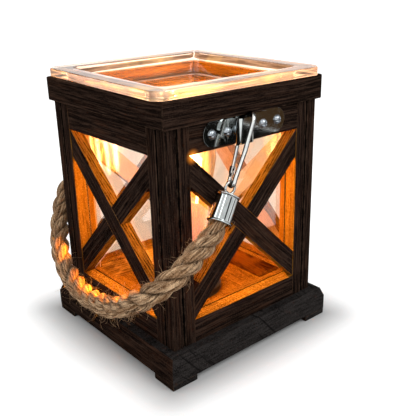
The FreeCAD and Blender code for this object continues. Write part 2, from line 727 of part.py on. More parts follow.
def gate():
    """Straight bar that closes the hook's mouth, forked over the flattened wire at its pivot."""
    top = on_hook(-HOOK_HALF_WIDTH, GATE_TOP)
    fork = on_hook(-HOOK_EYE, GATE_PIVOT)
    along = (fork - top).normalize()
    foot = fork - along * FORK_LENGTH
    bar = rod(top, foot, GATE_RADIUS).fuse(Part.makeSphere(GATE_RADIUS, top))
    for side in (-1, 1):
        near = side * (TONGUE_THICK / 2 + CHEEK_PLAY)
        base = min(near, near + side * CHEEK_THICK)
        disc = Part.makeCylinder(GATE_RADIUS, CHEEK_THICK, fork + HOOK_NORMAL * base, HOOK_NORMAL)
        across = along.cross(HOOK_NORMAL) * GATE_RADIUS
        start = foot - along * GATE_RADIUS + HOOK_NORMAL * base
        end = fork + HOOK_NORMAL * base
        corners = [start - across, start + across, end + across, end - across]
        outline = Part.makePolygon(corners + corners[:1])
        bar = bar.fuse(disc).fuse(Part.Face(outline).extrude(HOOK_NORMAL * CHEEK_THICK))
    far = HOOK_NORMAL * HOOK_WIRE * 2
    hole = rod(fork - far, fork + far, PIN_RADIUS + HOLE_PLAY)
    return bar.cut(hole).removeSplitter()


def cap_axis(lean):
    """Way the right cap points: it leans to the front and splays away from the body."""
    flat = cos(radians(CAP_SPLAY))
    return Vector(sin(radians(CAP_SPLAY)), -flat * sin(radians(lean)), -flat * cos(radians(lean)))


CAP_START = RING_RADIUS + RING_WIRE - RING_SINK
ROPE_START = CAP_START + CAP_END
CAP_MOUTH = CAP_START + CAP_TUBE_LENGTH


def rope_cap(lean):
    """Metal cup on the rope's end with a rolled rim at each end and a ring on its closed end."""
    axis = cap_axis(lean)
    start = RING_CENTRE + axis * CAP_START
    mouth = RING_CENTRE + axis * CAP_MOUTH
    cup = rod(start, mouth, CAP_TUBE_RADIUS)
    cup = cup.fuse(rod(start, start + axis * CAP_FLANGE, CAP_FLANGE_RADIUS))
    cup = cup.fuse(rod(mouth - axis * CAP_FLANGE, mouth, CAP_FLANGE_RADIUS))
    ring = Part.makeTorus(RING_RADIUS, RING_WIRE, RING_CENTRE, Vector(1, 0, 0))
    cup = cup.fuse(ring)
    bore = rod(RING_CENTRE + axis * ROPE_START, mouth, ROPE_DIAMETER / 2 + ROPE_PLAY)
    return cup.cut(bore).removeSplitter()


def rope_points():
    """The rope's whole route: out of one cap, round the front and into the other."""
    out, home = cap_axis(CAP_LEAN_RIGHT), cap_axis(CAP_LEAN_LEFT)
    right = [RING_CENTRE + out * reach for reach in (ROPE_START, ROPE_STRAIGHT)]
    left = [RING_CENTRE + home * reach for reach in (ROPE_STRAIGHT, ROPE_START)]
    middle = [Vector(*place) for place in ROPE_ROUTE]
    return right + middle + [Vector(-place.x, place.y, place.z) for place in left]


def bend_radii(points):
    """The largest arc that two runs allow at each inner point."""
    radii = []
    for before, corner, after in zip(points, points[1:], points[2:]):
        came, goes = corner - before, after - corner
        shorter = min(came.Length, goes.Length)
        radii.append(BEND_SHARE * shorter / tan(came.getAngle(goes) / 2))
    return radii


def rope():
    points = rope_points()
    radii = bend_radii(points)
    path = rounded_wire(points, radii)
    solid = tube_along(path, points[0], points[1] - points[0], ROPE_DIAMETER / 2)
    print("rope radii", [round(radius, 1) for radius in radii])
    print("rope length", round(path.Length, 1), "volume share",
          round(solid.Volume / (path.Length * pi * ROPE_DIAMETER ** 2 / 4), 4))
    return solid


def side_pieces():
    """The wooden frame, braces and pane of each side, turned from the front's."""
    front = {"stiles": stiles(), "rail_top": rail(WINDOW_TOP, BODY_TOP),
             "rail_bottom": rail(BOARD_TOP, WINDOW_BOTTOM), "brace_long": brace_long(),
             "brace_short": brace_short(), "pane": pane()}
    pieces = {}
    for side, angle in around(SIDES):
        for name, shape in front.items():
            pieces[name + "_" + side] = turned(shape, angle)
        bottom = "rail_bottom_" + side
        for place in base_screw_places():
            pieces[bottom] = pieces[bottom].cut(base_screw(place, HOLE_PLAY))
    pieces["rail_top_right"] = drilled(pieces["rail_top_right"])
    pieces["rail_top_left"] = mirrored(drilled(mirrored(pieces["rail_top_left"])))
    return pieces


def build():
    pieces = {"base_board": base_board(), "feet": feet()}
    pieces["base_screws"] = Part.makeCompound([base_screw(place) for place in base_screw_places()])
    for corner, angle in around(CORNERS):
        pieces["post_" + corner] = turned(post(), angle)
    pieces.update(side_pieces())
    for side, angle in around(SIDES):
        pieces["collar_" + side] = turned(collar_board(), angle)
    pieces["dish"] = dish()
    pieces.update({"socket_body": socket_body(), "socket_sleeve": socket_sleeve(),
                   "socket_contact": socket_contact(), "socket_screws": socket_screws(),
                   "cord_grommet": cord_grommet()})
    pieces.update({"bulb_cap": bulb_cap(), "bulb_glass": bulb_glass(), "bulb_stem": bulb_stem(),
                   "bulb_filament": bulb_filament(), "bulb_supports": bulb_supports(),
                   "bulb_contact": bulb_contact()})
    pairs = {"bracket_plate": bracket_plate(), "strap_loop": strap_loop(), "hook": hook(), "gate": gate()}
    for name, shape in pairs.items():
        pieces[name + "_right"] = shape
        pieces[name + "_left"] = mirrored(shape)
    pieces["bracket_screws"] = bracket_screws()
    pieces["rope_cap_right"] = rope_cap(CAP_LEAN_RIGHT)
    pieces["rope_cap_left"] = mirrored(rope_cap(CAP_LEAN_LEFT))
    pieces["rope"] = rope()
    return pieces


def write(pieces):
    os.makedirs("parts", exist_ok=True)
    for name, shape in pieces.items():
        solids = shape.Solids
        whole = all(solid.isValid() and solid.Volume > 0 for solid in solids)
        print(name, len(solids), "solid(s)", round(sum(solid.Volume for solid in solids), 1),
              "" if whole else "NOT VALID")
        one = solids[0] if len(solids) == 1 else Part.makeCompound(solids)
        one.exportStep("parts/" + name + ".step")


print("ring centre", [round(value, 3) for value in RING_CENTRE])
print("hook top", [round(value, 3) for value in HOOK_TOP])
print("gate pivot", [round(value, 3) for value in on_hook(-HOOK_EYE, GATE_PIVOT)])
print("gate axis", [round(value, 5) for value in HOOK_NORMAL])
write(build())
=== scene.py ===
"""Looks of the wooden lantern wax warmer with its glass dish, bulb, snap hooks and rope handle."""
import math

import bmesh
import bpy
import numpy as np
from mathutils import Matrix, Vector


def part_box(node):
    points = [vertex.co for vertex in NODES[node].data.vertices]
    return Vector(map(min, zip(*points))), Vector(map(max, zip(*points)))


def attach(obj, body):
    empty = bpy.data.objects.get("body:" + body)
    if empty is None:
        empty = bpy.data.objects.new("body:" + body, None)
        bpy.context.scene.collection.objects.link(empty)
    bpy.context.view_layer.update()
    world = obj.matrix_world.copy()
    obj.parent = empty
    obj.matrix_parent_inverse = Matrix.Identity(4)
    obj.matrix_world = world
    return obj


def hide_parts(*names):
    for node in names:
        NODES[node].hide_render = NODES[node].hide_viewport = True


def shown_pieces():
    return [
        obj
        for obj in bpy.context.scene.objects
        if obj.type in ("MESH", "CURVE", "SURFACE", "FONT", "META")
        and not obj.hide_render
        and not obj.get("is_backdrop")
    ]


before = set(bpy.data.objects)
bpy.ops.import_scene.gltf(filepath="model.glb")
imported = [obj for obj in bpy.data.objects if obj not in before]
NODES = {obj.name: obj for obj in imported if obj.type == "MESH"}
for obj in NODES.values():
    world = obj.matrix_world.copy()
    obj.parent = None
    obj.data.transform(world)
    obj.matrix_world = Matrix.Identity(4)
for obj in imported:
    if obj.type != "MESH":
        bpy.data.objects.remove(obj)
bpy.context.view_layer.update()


def colour(red, green, blue):
    return (red, green, blue, 1.0)


# Sizes and places of the lantern, in metres
SIDES = ("front", "right", "back", "left")
UP, EAST, NORTH = (0, 0, 1), (1, 0, 0), (0, 1, 0)
WINDOW_SLOPE = math.radians(44.4)
PLINTH_HALF = 0.076
INNER_HALF = 0.0586
SAWN_REACH = 0.03
INWARD_REACH = -0.0497
GROOVE_REACH = (0.036, 0.057)
# HOT_CORNER and HOT_PANE place a painted glow round the right window's hot corner, on the wood and on the
# pane
HOT_CORNER = (0.067, -0.0461, 0.1534)
HOT_CORNER_REACH = (0.0010, 0.0062)
HOT_PANE = (0.056, -0.0378, 0.1493)
HOT_PANE_REACH = (0.0020, 0.0095)

# Dish
DISH_TURN = math.radians(-2.0)
DISH_TOP = 0.193
DISH_BAND = 0.0577
DISH_RIM = (0.1898, 0.1908)
DISH_FRONT = (-0.054, -0.050)
# Spots of the rim's painted glow, of the painted shade on the cut corner's facets, and of a painted shaded
# spot
DISH_GLOWS = ((0.054, -0.0702), (0.0695, -0.045))
DISH_CORNER = (0.0675, -0.0675)
DISH_SHADE_SPOT = (-0.046, -0.070)

# Bulb
LAMP_CENTRE = Vector((0, 0, 0.1126))
# HOT_SPOT, FAR_LIMB and BEHIND_FILAMENT place the envelope's painted hot spot, its darker far limb and the
# painted bars behind the filament
HOT_SPOT = (0.020, -0.010, 0.135)
FAR_LIMB = (0.644, 0.765, 0.0)
BEHIND_FILAMENT = (-0.75, -0.66, 0.0)
CAGE_WIRES = 8
CAGE_RADIUS = 0.0115
CAGE_WIRE_RADIUS = 0.0011
CAGE_INSET = 0.0008

# Rope caps
RING_CENTRE = Vector((0.0769, -0.024539, 0.130493))
RING_RADIUS = 0.0041
RING_WIRE_RADIUS = 0.001
CAP_SPLAY = math.radians(10)
CAP_LEAN = {"right": math.radians(36), "left": math.radians(45)}
CAP_REACH = (0.00460, 0.02390)
CAP_RIM = [(0.0, 0.00740), (0.00015, 0.00795), (0.00045, 0.00819), (0.00075, 0.00825), (0.00105, 0.00819),
           (0.00135, 0.00795), (0.00150, 0.00745), (0.00170, 0.00725), (0.00200, 0.00725)]
CAP_BORE, CAP_FLOOR = 0.0062, 0.0094
CAP_LIP = [(0.0002, 0.0068), (0.0006, CAP_BORE)]

# Rope
ROPE_LAY = 0.040
ROPE_STEP = 0.0011
STRAND_RADIUS = 0.0036
STRAND_ORBIT = 0.0037
STRAND_SIDES = 22
STRAND_WOBBLE = 0.00018
STRAND_WOBBLES = 40
STRAND_SWELL = 0.07
STRAND_SEED = 5
NIP_REACH, NIP = (0.0, 0.010, 0.022), (0.84, 0.84, 1.0)
ROPE_INSIDE_CAP, ROPE_OUT_OF_CAP = 0.014, 0.032
FUZZ = {"Density": 130000.0, "Length": 0.0032, "Thickness": 0.00005}
STRAYS = {"Density": 32000.0, "Length": 0.0105, "Thickness": 0.00007}

# The rope's route between its caps, from right to left, moved to where the photograph shows it
ROPE_ROUTE = [
    (0.0850, -0.0580, 0.1000), (0.0885, -0.0720, 0.0935), (0.0870, -0.0835, 0.0880),
    (0.0790, -0.0920, 0.0795), (0.0660, -0.0950, 0.0700), (0.0500, -0.0950, 0.0605),
    (0.0330, -0.0930, 0.0525), (0.0150, -0.0905, 0.0465), (-0.0030, -0.0885, 0.0430),
    (-0.0220, -0.0870, 0.0430), (-0.0390, -0.0845, 0.0465), (-0.0530, -0.0815, 0.0530),
    (-0.0635, -0.0778, 0.0610), (-0.0717, -0.0725, 0.0690), (-0.0793, -0.0665, 0.0780),
    (-0.0826, -0.0612, 0.0890), (-0.0826, -0.0558, 0.1000),
]

# Camera at the photograph's own viewing place: yaw, pitch and roll, and lens in millimetres
CAMERA_PLACE = (0.35707, -0.2792, 0.26168)
CAMERA_TURN = (49.896, 20.888, -1.346)
CAMERA_LENS = 54.572

# Studio
FLOOR_REACH = 12
CARD_LIFT = 0.002

# Tones of the stained outside
BLACK = colour(0, 0, 0)
STAIN_DEEP, STAIN_FIBRE = colour(0.0042, 0.0024, 0.0018), colour(0.042, 0.0235, 0.0165)
STAIN_FLECK = colour(0.075, 0.050, 0.038)
STAIN_BAND = colour(0.062, 0.027, 0.015)
STAIN_PORE = colour(0.003, 0.002, 0.002)
END_DEEP, END_PALE = colour(0.0075, 0.0065, 0.0062), colour(0.0270, 0.0235, 0.0225)
END_FLECK, END_CRACK = colour(0.060, 0.053, 0.050), colour(0.004, 0.0035, 0.0035)
# GROOVE_SHADE is painted shade for the grooves beside the posts
GROOVE_SHADE = colour(0.001, 0.001, 0.001)
WORN_BROWN = colour(0.11, 0.066, 0.043)

# Tones of the sawn faces inside, which the bulb lights, and of painted light, shade and glows
SAWN_LOW, SAWN_HIGH = colour(0.180, 0.064, 0.004), colour(0.310, 0.128, 0.008)
SAWN_FIBRE = colour(0.540, 0.250, 0.034)
SAWN_PATCH = colour(0.120, 0.036, 0.002)
SAWN_LINE = colour(0.034, 0.008, 0.001)
SAWN_PORE = colour(0.020, 0.005, 0.0005)
SAWN_DARK_FLECK, SAWN_LIGHT_FLECK = colour(0.070, 0.018, 0.001), colour(0.760, 0.400, 0.075)
INWARD_PALE = (colour(0.480, 0.340, 0.210), colour(0.620, 0.470, 0.320))
INWARD_GREY = (colour(0.220, 0.220, 0.200), colour(0.280, 0.270, 0.250))
INWARD_LINE = colour(0.040, 0.010, 0.001)
# RAIL_SHADE and RAIL_SUN are painted shade and painted light on the rails' inner faces: a shaded and a lit
# copy of one wood
RAIL_SHADE = (colour(0.018, 0.004, 0.0004), colour(0.200, 0.062, 0.004))
RAIL_SUN = (colour(0.140, 0.050, 0.005), colour(0.700, 0.400, 0.090))
# BRACE_HAZE is a painted hazy glow on the rising front brace's inward faces
BRACE_HAZE = colour(0.56, 0.50, 0.42)
# CORNER_GLOW is a painted glow on the wood round the window's hot corner
CORNER_GLOW = colour(1.35, 0.40, 0.03)
# PANE_GLOW is a painted glow on the pane at the hot corner
PANE_GLOW = colour(1.6, 1.15, 0.75)


class Graph:
    """Adds nodes to one material, group or world tree and links them."""

    def __init__(self, tree, kind="ShaderNode"):
        self.tree = tree
        self.kind = kind

    def feed(self, socket, value):
        if isinstance(value, bpy.types.NodeSocket):
            self.tree.links.new(value, socket)
        else:
            socket.default_value = value

    def add(self, kind, inputs=None, **settings):
        made = self.tree.nodes.new(self.kind + kind)
        for key, value in settings.items():
            setattr(made, key, value)
        for key, value in (inputs or {}).items():
            self.feed(made.inputs[key], value)
        return made

    def math(self, operation, a, b=0.0, clamp=False):
        return self.add("Math", {0: a, 1: b}, operation=operation, use_clamp=clamp).outputs[0]

    def times(self, a, b, clamp=False):
        return self.math("MULTIPLY", a, b, clamp)

    def larger(self, a, b):
        return self.math("MAXIMUM", a, b)

    def below(self, a, limit):
        return self.math("LESS_THAN", a, limit)

    def size(self, a):
        return self.math("ABSOLUTE", a)

    def blend(self, share, a, b):
        return self.add("Mix", {0: share, 6: a, 7: b}, data_type="RGBA").outputs[2]

    def between(self, value, low, high, out_low=0.0, out_high=1.0):
        return self.add("MapRange", {0: value, 1: low, 2: high, 3: out_low, 4: out_high}).outputs[0]

    def dot(self, vector, direction):
        return self.add("VectorMath", {0: vector, 1: direction}, operation="DOT_PRODUCT").outputs["Value"]

    def distance(self, vector, spot):
        return self.add("VectorMath", {0: vector, 1: spot}, operation="DISTANCE").outputs["Value"]

    def parts(self, vector):
        return self.add("SeparateXYZ", {0: vector}).outputs

    def joined(self, x=0.0, y=0.0, z=0.0):
        return self.add("CombineXYZ", {0: x, 1: y, 2: z}).outputs[0]

    def noise(self, vector, scale, detail=3.0, rough=0.55):
        made = self.add("TexNoise", {"Vector": vector, "Scale": scale, "Detail": detail, "Roughness": rough})
        return made.outputs["Fac"]

    def grain(self, vector, scale, detail=3.0, rough=0.55):
        """Noise that is drawn out by its own scale along each axis."""
        drawn = self.add("Mapping", {"Vector": vector, "Scale": scale}).outputs[0]
        return self.noise(drawn, 1.0, detail, rough)

    def turned(self, vector, rotation):
        return self.add("Mapping", {"Vector": vector, "Rotation": rotation}).outputs[0]

    def look(self, name, value):
        """Feeds the material's principled shader."""
        self.feed(self.tree.nodes["Principled BSDF"].inputs[name], value)

    def bump(self, strength, distance, height):
        made = self.add("Bump", {"Strength": strength, "Distance": distance, "Height": height})
        self.look("Normal", made.outputs[0])

    def group(self, tree, inputs):
        return self.add("Group", inputs, node_tree=tree).outputs


def new_group(name, inputs, outputs, kind="Shader"):
    """A node tree of its own with named inputs and outputs; a kind follows a name where it isn't a number."""
    tree = bpy.data.node_groups.new(name, kind + "NodeTree")
    for way, labels in (("INPUT", inputs), ("OUTPUT", outputs)):
        for label in labels:
            title, _, sort = label.partition(": ")
            tree.interface.new_socket(title, in_out=way, socket_type="NodeSocket" + (sort or "Float"))
    graph = Graph(tree, "ShaderNode" if kind == "Shader" else "")
    return tree, graph, tree.nodes.new("NodeGroupInput").outputs, tree.nodes.new("NodeGroupOutput").inputs


def wood_grain_group():
    """Masks of wood that grows along one direction, and of the marks that stain and saw leave on it."""
    tree, g, given, out = new_group(
        "wood_grain", ["Vector: Vector", "Along: Vector", "Across: Vector", "Depth: Vector"],
        ["Fibres", "Bands", "Pores", "Lines", "Patches", "Flecks", "Blotches", "Height"])
    place = given["Vector"]
    board = g.joined(*(g.dot(place, given[way]) for way in ("Along", "Across", "Depth")))
    sway = g.joined(y=g.between(g.grain(board, (14, 60, 60), 2.0), 0.0, 1.0, -0.002, 0.002))
    bent = g.add("VectorMath", {0: board, 1: sway}, operation="ADD").outputs[0]
    saw_place = g.add("Mapping", {"Vector": bent, "Scale": (0.08, 1, 1)}).outputs[0]
    saw = g.add("TexWave", {"Vector": saw_place, "Scale": 330.0, "Distortion": 2.7, "Detail": 2.0,
                            "Detail Scale": 1.2}, bands_direction="DIAGONAL").outputs["Fac"]
    dashes = g.between(g.grain(bent, (90, 520, 520), 3.0, 0.6), 0.38, 0.56)
    fibres = g.between(g.grain(bent, (28, 950, 950), 4.0, 0.65), 0.40, 0.66)
    bands = g.between(g.grain(bent, (8, 420, 420), 2.0, 0.5), 0.40, 0.62)
    pores = g.between(g.grain(bent, (70, 1700, 1700), 2.0), 0.56, 0.68)
    raised = g.math("ADD", g.times(fibres, 0.5), g.times(bands, 0.5))
    g.feed(out["Fibres"], fibres)
    g.feed(out["Bands"], bands)
    g.feed(out["Pores"], pores)
    g.feed(out["Lines"], g.times(g.between(saw, 0.22, 0.66, 1.0, 0.0), dashes))
    g.feed(out["Patches"], g.between(g.noise(place, 28.0), 0.45, 0.7))
    g.feed(out["Flecks"], g.noise(place, 1000.0, 3.0, 0.8))
    g.feed(out["Blotches"], g.between(g.grain(board, (45, 90, 90)), 0.42, 0.60))
    g.feed(out["Height"], g.math("SUBTRACT", raised, g.times(pores, 0.6)))
    return tree


def wall_facing_group():
    """Masks from where a face of the lantern's walls lies and looks.

    The reach of a face is how far out it lies along its own facing: small on sawn edges and inner faces,
    half of the wall's in the grooves between posts and stiles, and negative where it looks inwards. Inside
    is everything within the four walls.
    """
    tree, g, given, out = new_group("wall_facing", ["Vector: Vector", "Normal: Vector"],
                                    ["Sawn", "Inward", "Groove", "Inside"])
    place, facing = g.parts(given["Vector"]), g.parts(given["Normal"])
    east, north = g.times(place[0], facing[0]), g.times(place[1], facing[1])
    outward = g.larger(east, north)
    sawn = g.below(outward, SAWN_REACH)
    g.feed(out["Sawn"], sawn)
    g.feed(out["Inward"], g.times(g.below(g.math("MINIMUM", east, north), INWARD_REACH), sawn))
    past = g.math("GREATER_THAN", outward, GROOVE_REACH[0])
    g.feed(out["Groove"], g.times(past, g.below(outward, GROOVE_REACH[1])))
    g.feed(out["Inside"], g.below(g.larger(g.size(place[0]), g.size(place[1])), INNER_HALF))
    return tree


def dark_stain_group():
    """Nearly black stain with lighter fibres and flecks, warmer bands and black pores."""
    tree, g, given, out = new_group("dark_stain", ["Fibres", "Bands", "Pores", "Patches", "Flecks"],
                                    ["Color: Color"])
    tone = g.blend(g.between(given["Fibres"], 0.1, 0.9), STAIN_DEEP, STAIN_FIBRE)
    tone = g.blend(g.between(given["Flecks"], 0.50, 0.66, 0.0, 0.35), tone, STAIN_FLECK)
    tone = g.blend(g.times(given["Patches"], g.times(given["Bands"], 0.6)), tone, STAIN_BAND)
    g.feed(out["Color"], g.blend(given["Pores"], tone, STAIN_PORE))
    return tree


def sawn_wood_group():
    """Golden sawn wood; Gain brightens it, Saw Marks and Grit give the strength of lines and flecks."""
    tree, g, given, out = new_group(
        "sawn_wood", ["Fibres", "Bands", "Pores", "Lines", "Patches", "Flecks", "Gain", "Saw Marks", "Grit"],
        ["Color: Color"])
    tone = g.blend(given["Bands"], SAWN_LOW, SAWN_HIGH)
    tone = g.blend(g.times(given["Fibres"], 0.5), tone, SAWN_FIBRE)
    tone = g.add("VectorMath", {0: tone, "Scale": given["Gain"]}, operation="SCALE").outputs[0]
    tone = g.blend(g.times(given["Patches"], 0.45), tone, SAWN_PATCH)
    tone = g.blend(g.times(given["Lines"], given["Saw Marks"]), tone, SAWN_LINE)
    tone = g.blend(g.times(given["Pores"], 0.8), tone, SAWN_PORE)
    tone = g.blend(g.between(given["Flecks"], 0.36, 0.48, given["Grit"], 0.0), tone, SAWN_DARK_FLECK)
    light = g.between(given["Flecks"], 0.52, 0.64, 0.0, g.times(given["Grit"], 0.8))
    g.feed(out["Color"], g.blend(light, tone, SAWN_LIGHT_FLECK))
    return tree


def end_grain_group():
    """Greyer wood with a few slanted cracks on the base board's two ends and its ledge."""
    tree, g, given, out = new_group("end_grain", ["Vector: Vector", "Normal: Vector"],
                                    ["Ends", "Color: Color"])
    place = given["Vector"]
    g.feed(out["Ends"], g.below(g.size(g.parts(given["Normal"])[1]), 0.5))
    cracks = g.grain(g.turned(place, (-0.7, 0, 0)), (60, 300, 12), 2.0)
    fine = g.grain(place, (300, 60, 900), 4.0, 0.7)
    flecks = g.between(g.noise(place, 1100.0, 3.0, 0.8), 0.46, 0.66)
    grey = g.blend(g.between(fine, 0.40, 0.60), END_DEEP, END_PALE)
    grey = g.blend(g.times(flecks, 0.6), grey, END_FLECK)
    g.feed(out["Color"], g.blend(g.between(cracks, 0.57, 0.63, 0.0, 0.7), grey, END_CRACK))
    return tree


def worn_edge_group():
    """Patchy share of bare wood along the softened edges."""
    tree, g, given, out = new_group("worn_edge", ["Vector: Vector", "Amount"], ["Worn"])
    edge = g.add("Attribute", attribute_name="worn").outputs["Fac"]
    patch = g.between(g.noise(given["Vector"], 160.0, 4.0, 0.7), 0.42, 0.68)
    g.feed(out["Worn"], g.times(g.times(edge, patch), given["Amount"], clamp=True))
    return tree


def glow_group():
    """Share of a painted glow that fades out round one place."""
    tree, g, given, out = new_group("place_glow", ["Vector: Vector", "Place: Vector", "Near", "Far"],
                                    ["Share"])
    near = g.between(g.distance(given["Vector"], given["Place"]), given["Near"], given["Far"], 1.0, 0.0)
    g.feed(out["Share"], g.times(near, near))
    return tree


def handling_group():
    """Faint marks of handling and fine scratches on plated metal."""
    tree, g, given, out = new_group("handling_marks", ["Vector: Vector"], ["Marks", "Scratches"])
    g.feed(out["Marks"], g.noise(given["Vector"], 320.0, 4.0, 0.7))
    g.feed(out["Scratches"], g.between(g.grain(given["Vector"], (3000, 300, 200), 2.0), 0.6, 0.75))
    return tree


WOOD_GRAIN = wood_grain_group()
WALL_FACING = wall_facing_group()
DARK_STAIN = dark_stain_group()
SAWN_WOOD = sawn_wood_group()
END_GRAIN = end_grain_group()
WORN_EDGE = worn_edge_group()
PLACE_GLOW = glow_group()
HANDLING = handling_group()


def new_material(name, **plain):
    """A material with a principled shader, whose plain values are set on its own sockets."""
    made = bpy.data.materials.new(name)
    made.use_nodes = True
    g = Graph(made.node_tree)
    for key, value in plain.items():
        g.look(key.replace("_", " "), value)
    return made, g


def place_of(g):
    return g.add("TexCoord").outputs["Object"]


def facing_of(g):
    return g.add("TexCoord").outputs["Normal"]


def glow_at(g, spot, reach, tone):
    """Paints a glow as emission on a surface round one place."""
    share = g.group(PLACE_GLOW, {"Vector": place_of(g), "Place": spot, "Near": reach[0],
                                 "Far": reach[1]})["Share"]
    g.look("Emission Strength", 1.0)
    g.look("Emission Color", g.blend(share, BLACK, tone))


def stained_wood(name, along, across, sawn=None, grooves=False, saw_marks=0.2, ends=False,
                 haze=None, painted_light_tones=None, gain=1.0, bloom=False, grit=0.5):
    """Nearly black stained wood whose grain runs along, with lighter sawn faces inside.

    sawn is "walls" where everything between the walls is bare, and "faces" where the faces that don't
    look outwards are. Of those, the ones that look inwards are pale, or grey with a painted hazy glow when
    haze is given, or take the painted lit or shaded tones of painted_light_tones. grooves paints
    shade in the grooves beside the posts, ends greys the end grain, and bloom paints a glow round
    the window's hot corner.
    """
    made, g = new_material(name, Specular_IOR_Level=0.0)
    place = place_of(g)
    grain = g.group(WOOD_GRAIN, {"Vector": place, "Along": along, "Across": across,
                                 "Depth": tuple(Vector(along).cross(Vector(across)))})
    facing = g.group(WALL_FACING, {"Vector": place, "Normal": facing_of(g)})
    fibres = grain["Fibres"]
    masks = {label: grain[label] for label in ("Fibres", "Bands", "Pores", "Patches", "Flecks")}
    tone = g.group(DARK_STAIN, masks)["Color"]
    if ends:
        cut_across, grey = g.group(END_GRAIN, {"Vector": place, "Normal": facing_of(g)})
        tone = g.blend(cut_across, tone, grey)
    if sawn:
        bare = g.group(SAWN_WOOD, {**masks, "Lines": grain["Lines"], "Gain": gain, "Saw Marks": saw_marks,
                                   "Grit": grit})["Color"]
    if sawn == "faces":
        pale = g.blend(fibres, *(INWARD_GREY if haze else INWARD_PALE))
        # painted light and shade: the inward faces take the given lit or shaded tones
        if painted_light_tones:
            pale = g.blend(g.larger(g.times(fibres, 0.55), grain["Blotches"]), *painted_light_tones)
            pale = g.blend(g.times(grain["Lines"], saw_marks), pale, INWARD_LINE)
        bare = g.blend(facing["Inward"], bare, pale)
        tone = g.blend(facing["Sawn"], tone, bare)
        # painted light: a hazy glow as emission on the inward faces, over a grey tone
        if haze:
            g.look("Emission Strength", 1.0)
            g.look("Emission Color", g.blend(facing["Inward"], BLACK, haze))
    if sawn == "walls":
        tone = g.blend(facing["Inside"], tone, bare)
    # painted shade: faces in the grooves beside the posts darken nearly to black
    if grooves:
        tone = g.blend(g.times(facing["Groove"], 0.9), tone, GROOVE_SHADE)
    # painted light: the wood glows round the window's hot corner, though it is no lamp
    if bloom:
        glow_at(g, HOT_CORNER, HOT_CORNER_REACH, CORNER_GLOW)
    worn = g.group(WORN_EDGE, {"Vector": place, "Amount": 0.6})["Worn"]
    g.look("Base Color", g.blend(worn, tone, WORN_BROWN))
    g.look("Roughness", g.between(fibres, 0.0, 1.0, 0.65, 0.5))
    g.bump(0.7, 0.0006, grain["Height"])
    return made


def lets_light_through(g):
    """Shadow and diffuse rays pass the glass, so the lamp's light reaches what is behind it."""
    rays = g.add("LightPath").outputs
    share = g.larger(rays["Is Shadow Ray"], rays["Is Diffuse Ray"])
    clear = g.add("BsdfTransparent", {0: colour(0.97, 0.94, 0.9)})
    nodes = g.tree.nodes
    both = g.add("MixShader", {0: share, 1: nodes["Principled BSDF"].outputs[0], 2: clear.outputs[0]})
    g.feed(nodes["Material Output"].inputs["Surface"], both.outputs[0])


def window_glass():
    """Thin warm pane with a faint ripple and a painted glow at the hot corner."""
    made, g = new_material("window_glass", Transmission_Weight=1.0, IOR=1.7, Roughness=0.0)
    g.look("Base Color", colour(0.86, 0.72, 0.60))
    g.bump(0.004, 0.001, g.noise(place_of(g), 45.0, 2.0))
    # painted light: the pane glows round the hot corner
    glow_at(g, HOT_PANE, HOT_PANE_REACH, PANE_GLOW)
    lets_light_through(g)
    return made


def pressed_dish_glass():
    """Pressed glass whose rim has the bulb's light painted on as a glow: peach sides, streaks along them,
    a hot corner, and painted shade on the corner facets and at one spot.
    """
    made, g = new_material("pressed_dish_glass", Transmission_Weight=1.0, IOR=1.42, Roughness=0.02,
                           Emission_Strength=1.0, Specular_IOR_Level=0.2)
    turned = g.turned(place_of(g), (0, 0, -DISH_TURN))
    x, y, z = g.parts(turned)
    wide, deep = g.size(x), g.size(y)
    out, along = g.larger(wide, deep), g.math("MINIMUM", wide, deep)
    streak_place = g.joined(g.times(out, 620.0), g.times(along, 34.0), g.times(z, 520.0))
    streaks = g.between(g.noise(streak_place, 1.0, 3.0, 0.6), 0.38, 0.66)
    patches = g.between(g.noise(turned, 42.0, 3.0, 0.6), 0.5, 0.68)

    def near_spot(spot, near, far):
        return g.between(g.distance(turned, spot + (DISH_TOP,)), near, far, 1.0, 0.0)

    # painted light: hot spots of glow on the rim
    hot = g.larger(near_spot(DISH_GLOWS[0], 0.003, 0.013), near_spot(DISH_GLOWS[1], 0.005, 0.027))
    hot = g.times(hot, g.between(streaks, 0.0, 1.0, 0.3, 1.0))
    # painted shade: darker corner facets, and a spot that is darker and glows less
    facet = near_spot(DISH_CORNER, 0.0065, 0.0095)
    dull = g.times(near_spot(DISH_SHADE_SPOT, 0.016, 0.040), g.between(streaks, 0.2, 0.8, 0.75, 0.1))
    lip = g.times(g.between(out, DISH_BAND + 0.0030, DISH_BAND + 0.0045, 1.0, 0.0),
                  g.between(y, *DISH_FRONT, 1.0, 0.0))
    # the rim's painted glow: emission that stands in for the bulb's light in the glass
    peach = g.blend(streaks, colour(0.20, 0.095, 0.050), colour(0.76, 0.40, 0.21))
    peach = g.blend(g.times(patches, 0.7), peach, colour(1.0, 0.56, 0.18))
    peach = g.blend(g.times(lip, 0.8), peach, colour(0.20, 0.165, 0.17))
    peach = g.blend(g.times(hot, 1.2, clamp=True), peach, colour(1.3, 0.78, 0.24))
    corner = g.blend(patches, colour(0.10, 0.05, 0.03), colour(0.75, 0.50, 0.32))
    peach = g.blend(g.times(facet, 0.85), peach, corner)
    rim = g.between(z, *DISH_RIM)
    upright = g.between(g.size(g.parts(facing_of(g))[2]), 0.7, 0.95, 1.0, 0.5)
    share = g.times(g.times(rim, upright), g.math("SUBTRACT", 0.93, dull))
    shade = g.larger(g.times(facet, g.between(patches, 0.0, 1.0, 0.9, 0.3)), dull)
    g.look("Base Color", g.blend(shade, colour(1.0, 0.87, 0.78), colour(0.30, 0.19, 0.13)))
    g.look("Emission Color", g.blend(share, colour(0.02, 0.004, 0.0), peach))
    g.bump(0.25, 0.0008, g.noise(turned, 60.0))
    lets_light_through(g)
    return made


